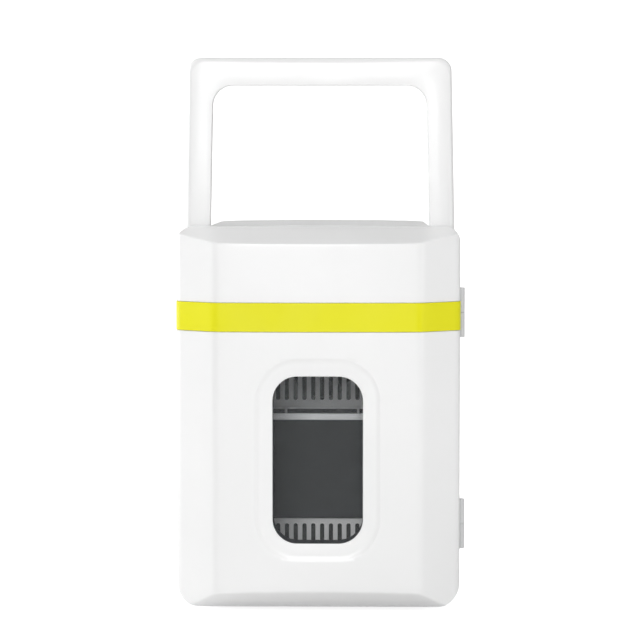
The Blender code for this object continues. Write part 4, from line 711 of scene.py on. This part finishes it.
def drawn_metal_group():
    """Lines left by drawing or brushing: noise stretched along one axis, as height and as roughness."""
    group, given, result = effect_group(
        "drawn_metal",
        [("Vector", "Vector", None), ("Stretch", "Vector", (40.0, 1500.0, 1500.0))],
        [("Height", "Float"), ("Streak", "Float")],
    )
    drawn = shader_node(group, "Mapping", Vector=given["Vector"], Scale=given["Stretch"])
    lines = shader_node(group, "TexNoise", Vector=drawn.outputs["Vector"], Scale=1.0, Detail=4.0)
    streak = shader_node(group, "MapRange", Value=lines.outputs["Fac"], From_Min=0.35, From_Max=0.65)
    group.links.new(lines.outputs["Fac"], result["Height"])
    group.links.new(streak.outputs["Result"], result["Streak"])
    return group


drawn_metal = drawn_metal_group()


def metal(name, colour, shade, roughness, stretch=(40.0, 1500.0, 1500.0)):
    """A metal with drawn lines along the axis of least stretch, which change its tone and gloss a little."""
    material, tree, shader = new_material(name)
    place = shader_node(tree, "TexCoord").outputs["Object"]
    lines = shader_node(tree, "Group", {"node_tree": drawn_metal}, Vector=place, Stretch=stretch).outputs
    tint = shader_node(tree, "MixRGB", Fac=lines["Streak"], Color1=colour, Color2=shade)
    tree.links.new(tint.outputs["Color"], shader.inputs["Base Color"])
    rough = shader_node(tree, "MapRange", Value=lines["Streak"], To_Min=roughness, To_Max=roughness * 1.4)
    tree.links.new(rough.outputs["Result"], shader.inputs["Roughness"])
    bump = shader_node(tree, "Bump", Strength=0.3, Distance=0.00002, Height=lines["Height"])
    tree.links.new(bump.outputs["Normal"], shader.inputs["Normal"])
    shader.inputs["Metallic"].default_value = 1.0
    return material


def paint_duct_shade(material, low, high):
    """Paints shade into a material: near black inside a box of Object coordinates, so that the duct's slots
    read as shaded.
    """
    tree = material.node_tree
    colour = tree.nodes["Principled BSDF"].inputs["Base Color"]
    place = shader_node(tree, "SeparateXYZ", Vector=shader_node(tree, "TexCoord").outputs["Object"]).outputs
    inside = None
    for axis, near, far in zip("XYZ", low, high):
        within = shader_node(tree, "Math", {"operation": "COMPARE"})
        tree.links.new(place[axis], within.inputs[0])
        within.inputs[1].default_value = (near + far) / 2
        within.inputs[2].default_value = (far - near) / 2
        if inside is None:
            inside = within.outputs["Value"]
            continue
        both = shader_node(tree, "Math", {"operation": "MULTIPLY"})
        tree.links.new(inside, both.inputs[0])
        tree.links.new(within.outputs["Value"], both.inputs[1])
        inside = both.outputs["Value"]
    mix = shader_node(tree, "MixRGB", Fac=inside, Color1=colour.links[0].from_socket, Color2=DUCT_PAINTED_SHADE)
    tree.links.new(mix.outputs["Color"], colour)


duct_grey = moulded("duct_grey_ps", DUCT_GREY, DUCT_GREY_SHADE, 0.5, grain_scale=1300.0, grain_depth=0.00004)
upper_low, upper_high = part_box("upper_grille")
lower_low, lower_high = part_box("lower_grille")
# Painted shade inside both slotted covers, behind their slots.
for low, high in ((upper_low, upper_high), (lower_low, lower_high)):
    paint_duct_shade(duct_grey, (low.x + DUCT_RIM, lower_low.y + DUCT_FACE, low.z + DUCT_RIM),
              (high.x - DUCT_RIM, high.y + DUCT_RIM, high.z - DUCT_RIM))
# Painted shade on the liner behind the upper cover, inside the duct.
paint_duct_shade(liner_white, (upper_low.x + DUCT_RIM, upper_high.y - DUCT_RIM, lower_low.z + DUCT_RIM),
          (upper_high.x - DUCT_RIM, upper_high.y + DUCT_BACK_REACH, upper_high.z - DUCT_RIM))
dark_anodised = metal("dark_anodised", (0.045, 0.046, 0.048, 1.0), (0.036, 0.037, 0.039, 1.0), 0.5)
satin_aluminium = metal("satin_aluminium", (0.60, 0.61, 0.62, 1.0), (0.52, 0.53, 0.54, 1.0), 0.35)
dress(duct_grey, 0.0, "upper_grille", "lower_grille")
dress(dark_anodised, 0.0002, "cold_plate")
dress(satin_aluminium, 0.0003, "plate_rail")


# Seal and feet ---------------------------------------------------------------------------------
# The soft PVC door seal, which holds a magnetic strip, and the four rubber feet pushed in below.

rubber = moulded("grey_rubber", (0.30, 0.30, 0.31, 1.0), (0.26, 0.26, 0.27, 1.0), 0.72,
                 grain_scale=2200.0, grain_depth=0.00008, scratches=0.1)
dress(rubber, 0.0006, "door_gasket")
dress(rubber, 0.0004, *(f"foot_{row}_{side}" for row in ("front", "rear") for side in ("left", "right")))


# Fixings ---------------------------------------------------------------------------------------
# Zinc-plated screws of the hinges and rear cover, the hinge pins and the handle's pivots.

plated_steel = metal("plated_steel", (0.66, 0.66, 0.65, 1.0), (0.58, 0.58, 0.58, 1.0), 0.3,
                     (900.0, 900.0, 900.0))
dress(plated_steel, 0.0, *(name for name in nodes if "_screw_" in name or name.endswith("_hinge_pin")))
dress(plated_steel, 0.0, "handle_pivot_left", "handle_pivot_right")


# Cooling unit and electrics ---------------------------------------------------------------------
# Extruded aluminium sinks and block, a ceramic thermoelectric module, two black fans, the board and the
# sockets, switch and light of the rear panel.

raw_aluminium = metal("raw_aluminium", (0.72, 0.73, 0.74, 1.0), (0.64, 0.65, 0.66, 1.0), 0.38,
                      (1500.0, 1500.0, 40.0))
black_plastic = moulded("black_plastic", (0.022, 0.022, 0.023, 1.0), (0.03, 0.03, 0.031, 1.0), 0.4,
                        grain_scale=1500.0, grain_depth=0.00004)
ceramic = moulded("module_ceramic", (0.86, 0.85, 0.82, 1.0), (0.82, 0.81, 0.78, 1.0), 0.55)
board_green = moulded("board_green", (0.03, 0.20, 0.08, 1.0), (0.02, 0.15, 0.06, 1.0), 0.4)
dress(raw_aluminium, 0.0, "cold_sink", "hot_sink", "transfer_block")
dress(black_plastic, 0.0002, "inner_fan_frame", "outer_fan_frame", "ac_inlet", "dc_inlet", "switch_housing")
dress(dark_plastic, 0.0002, "inner_fan_rotor", "outer_fan_rotor", "mode_rocker")
dress(ceramic, 0.0, "peltier_module")
dress(board_green, 0.0, "control_board")
dress(clear_acrylic, 0.0, "power_light")


# Insulation ------------------------------------------------------------------------------------
# Polyurethane foam blown into the door and round the tub: pale yellow, open cells on its cut faces.

foam_material, foam_tree, foam_shader = new_material("insulation_foam")
foam_place = shader_node(foam_tree, "TexCoord").outputs["Object"]
foam_cells = shader_node(foam_tree, "TexVoronoi", Vector=foam_place, Scale=900.0)
foam_tint = shader_node(foam_tree, "MixRGB", Fac=foam_cells.outputs["Distance"],
                        Color1=(0.84, 0.77, 0.56, 1.0), Color2=(0.74, 0.66, 0.44, 1.0))
foam_bump = shader_node(foam_tree, "Bump", Strength=0.6, Distance=0.0004,
                        Height=foam_cells.outputs["Distance"])
foam_tree.links.new(foam_tint.outputs["Color"], foam_shader.inputs["Base Color"])
foam_tree.links.new(foam_bump.outputs["Normal"], foam_shader.inputs["Normal"])
foam_shader.inputs["Roughness"].default_value = 0.95
dress(foam_material, 0.0, "door_foam", "cabinet_foam")
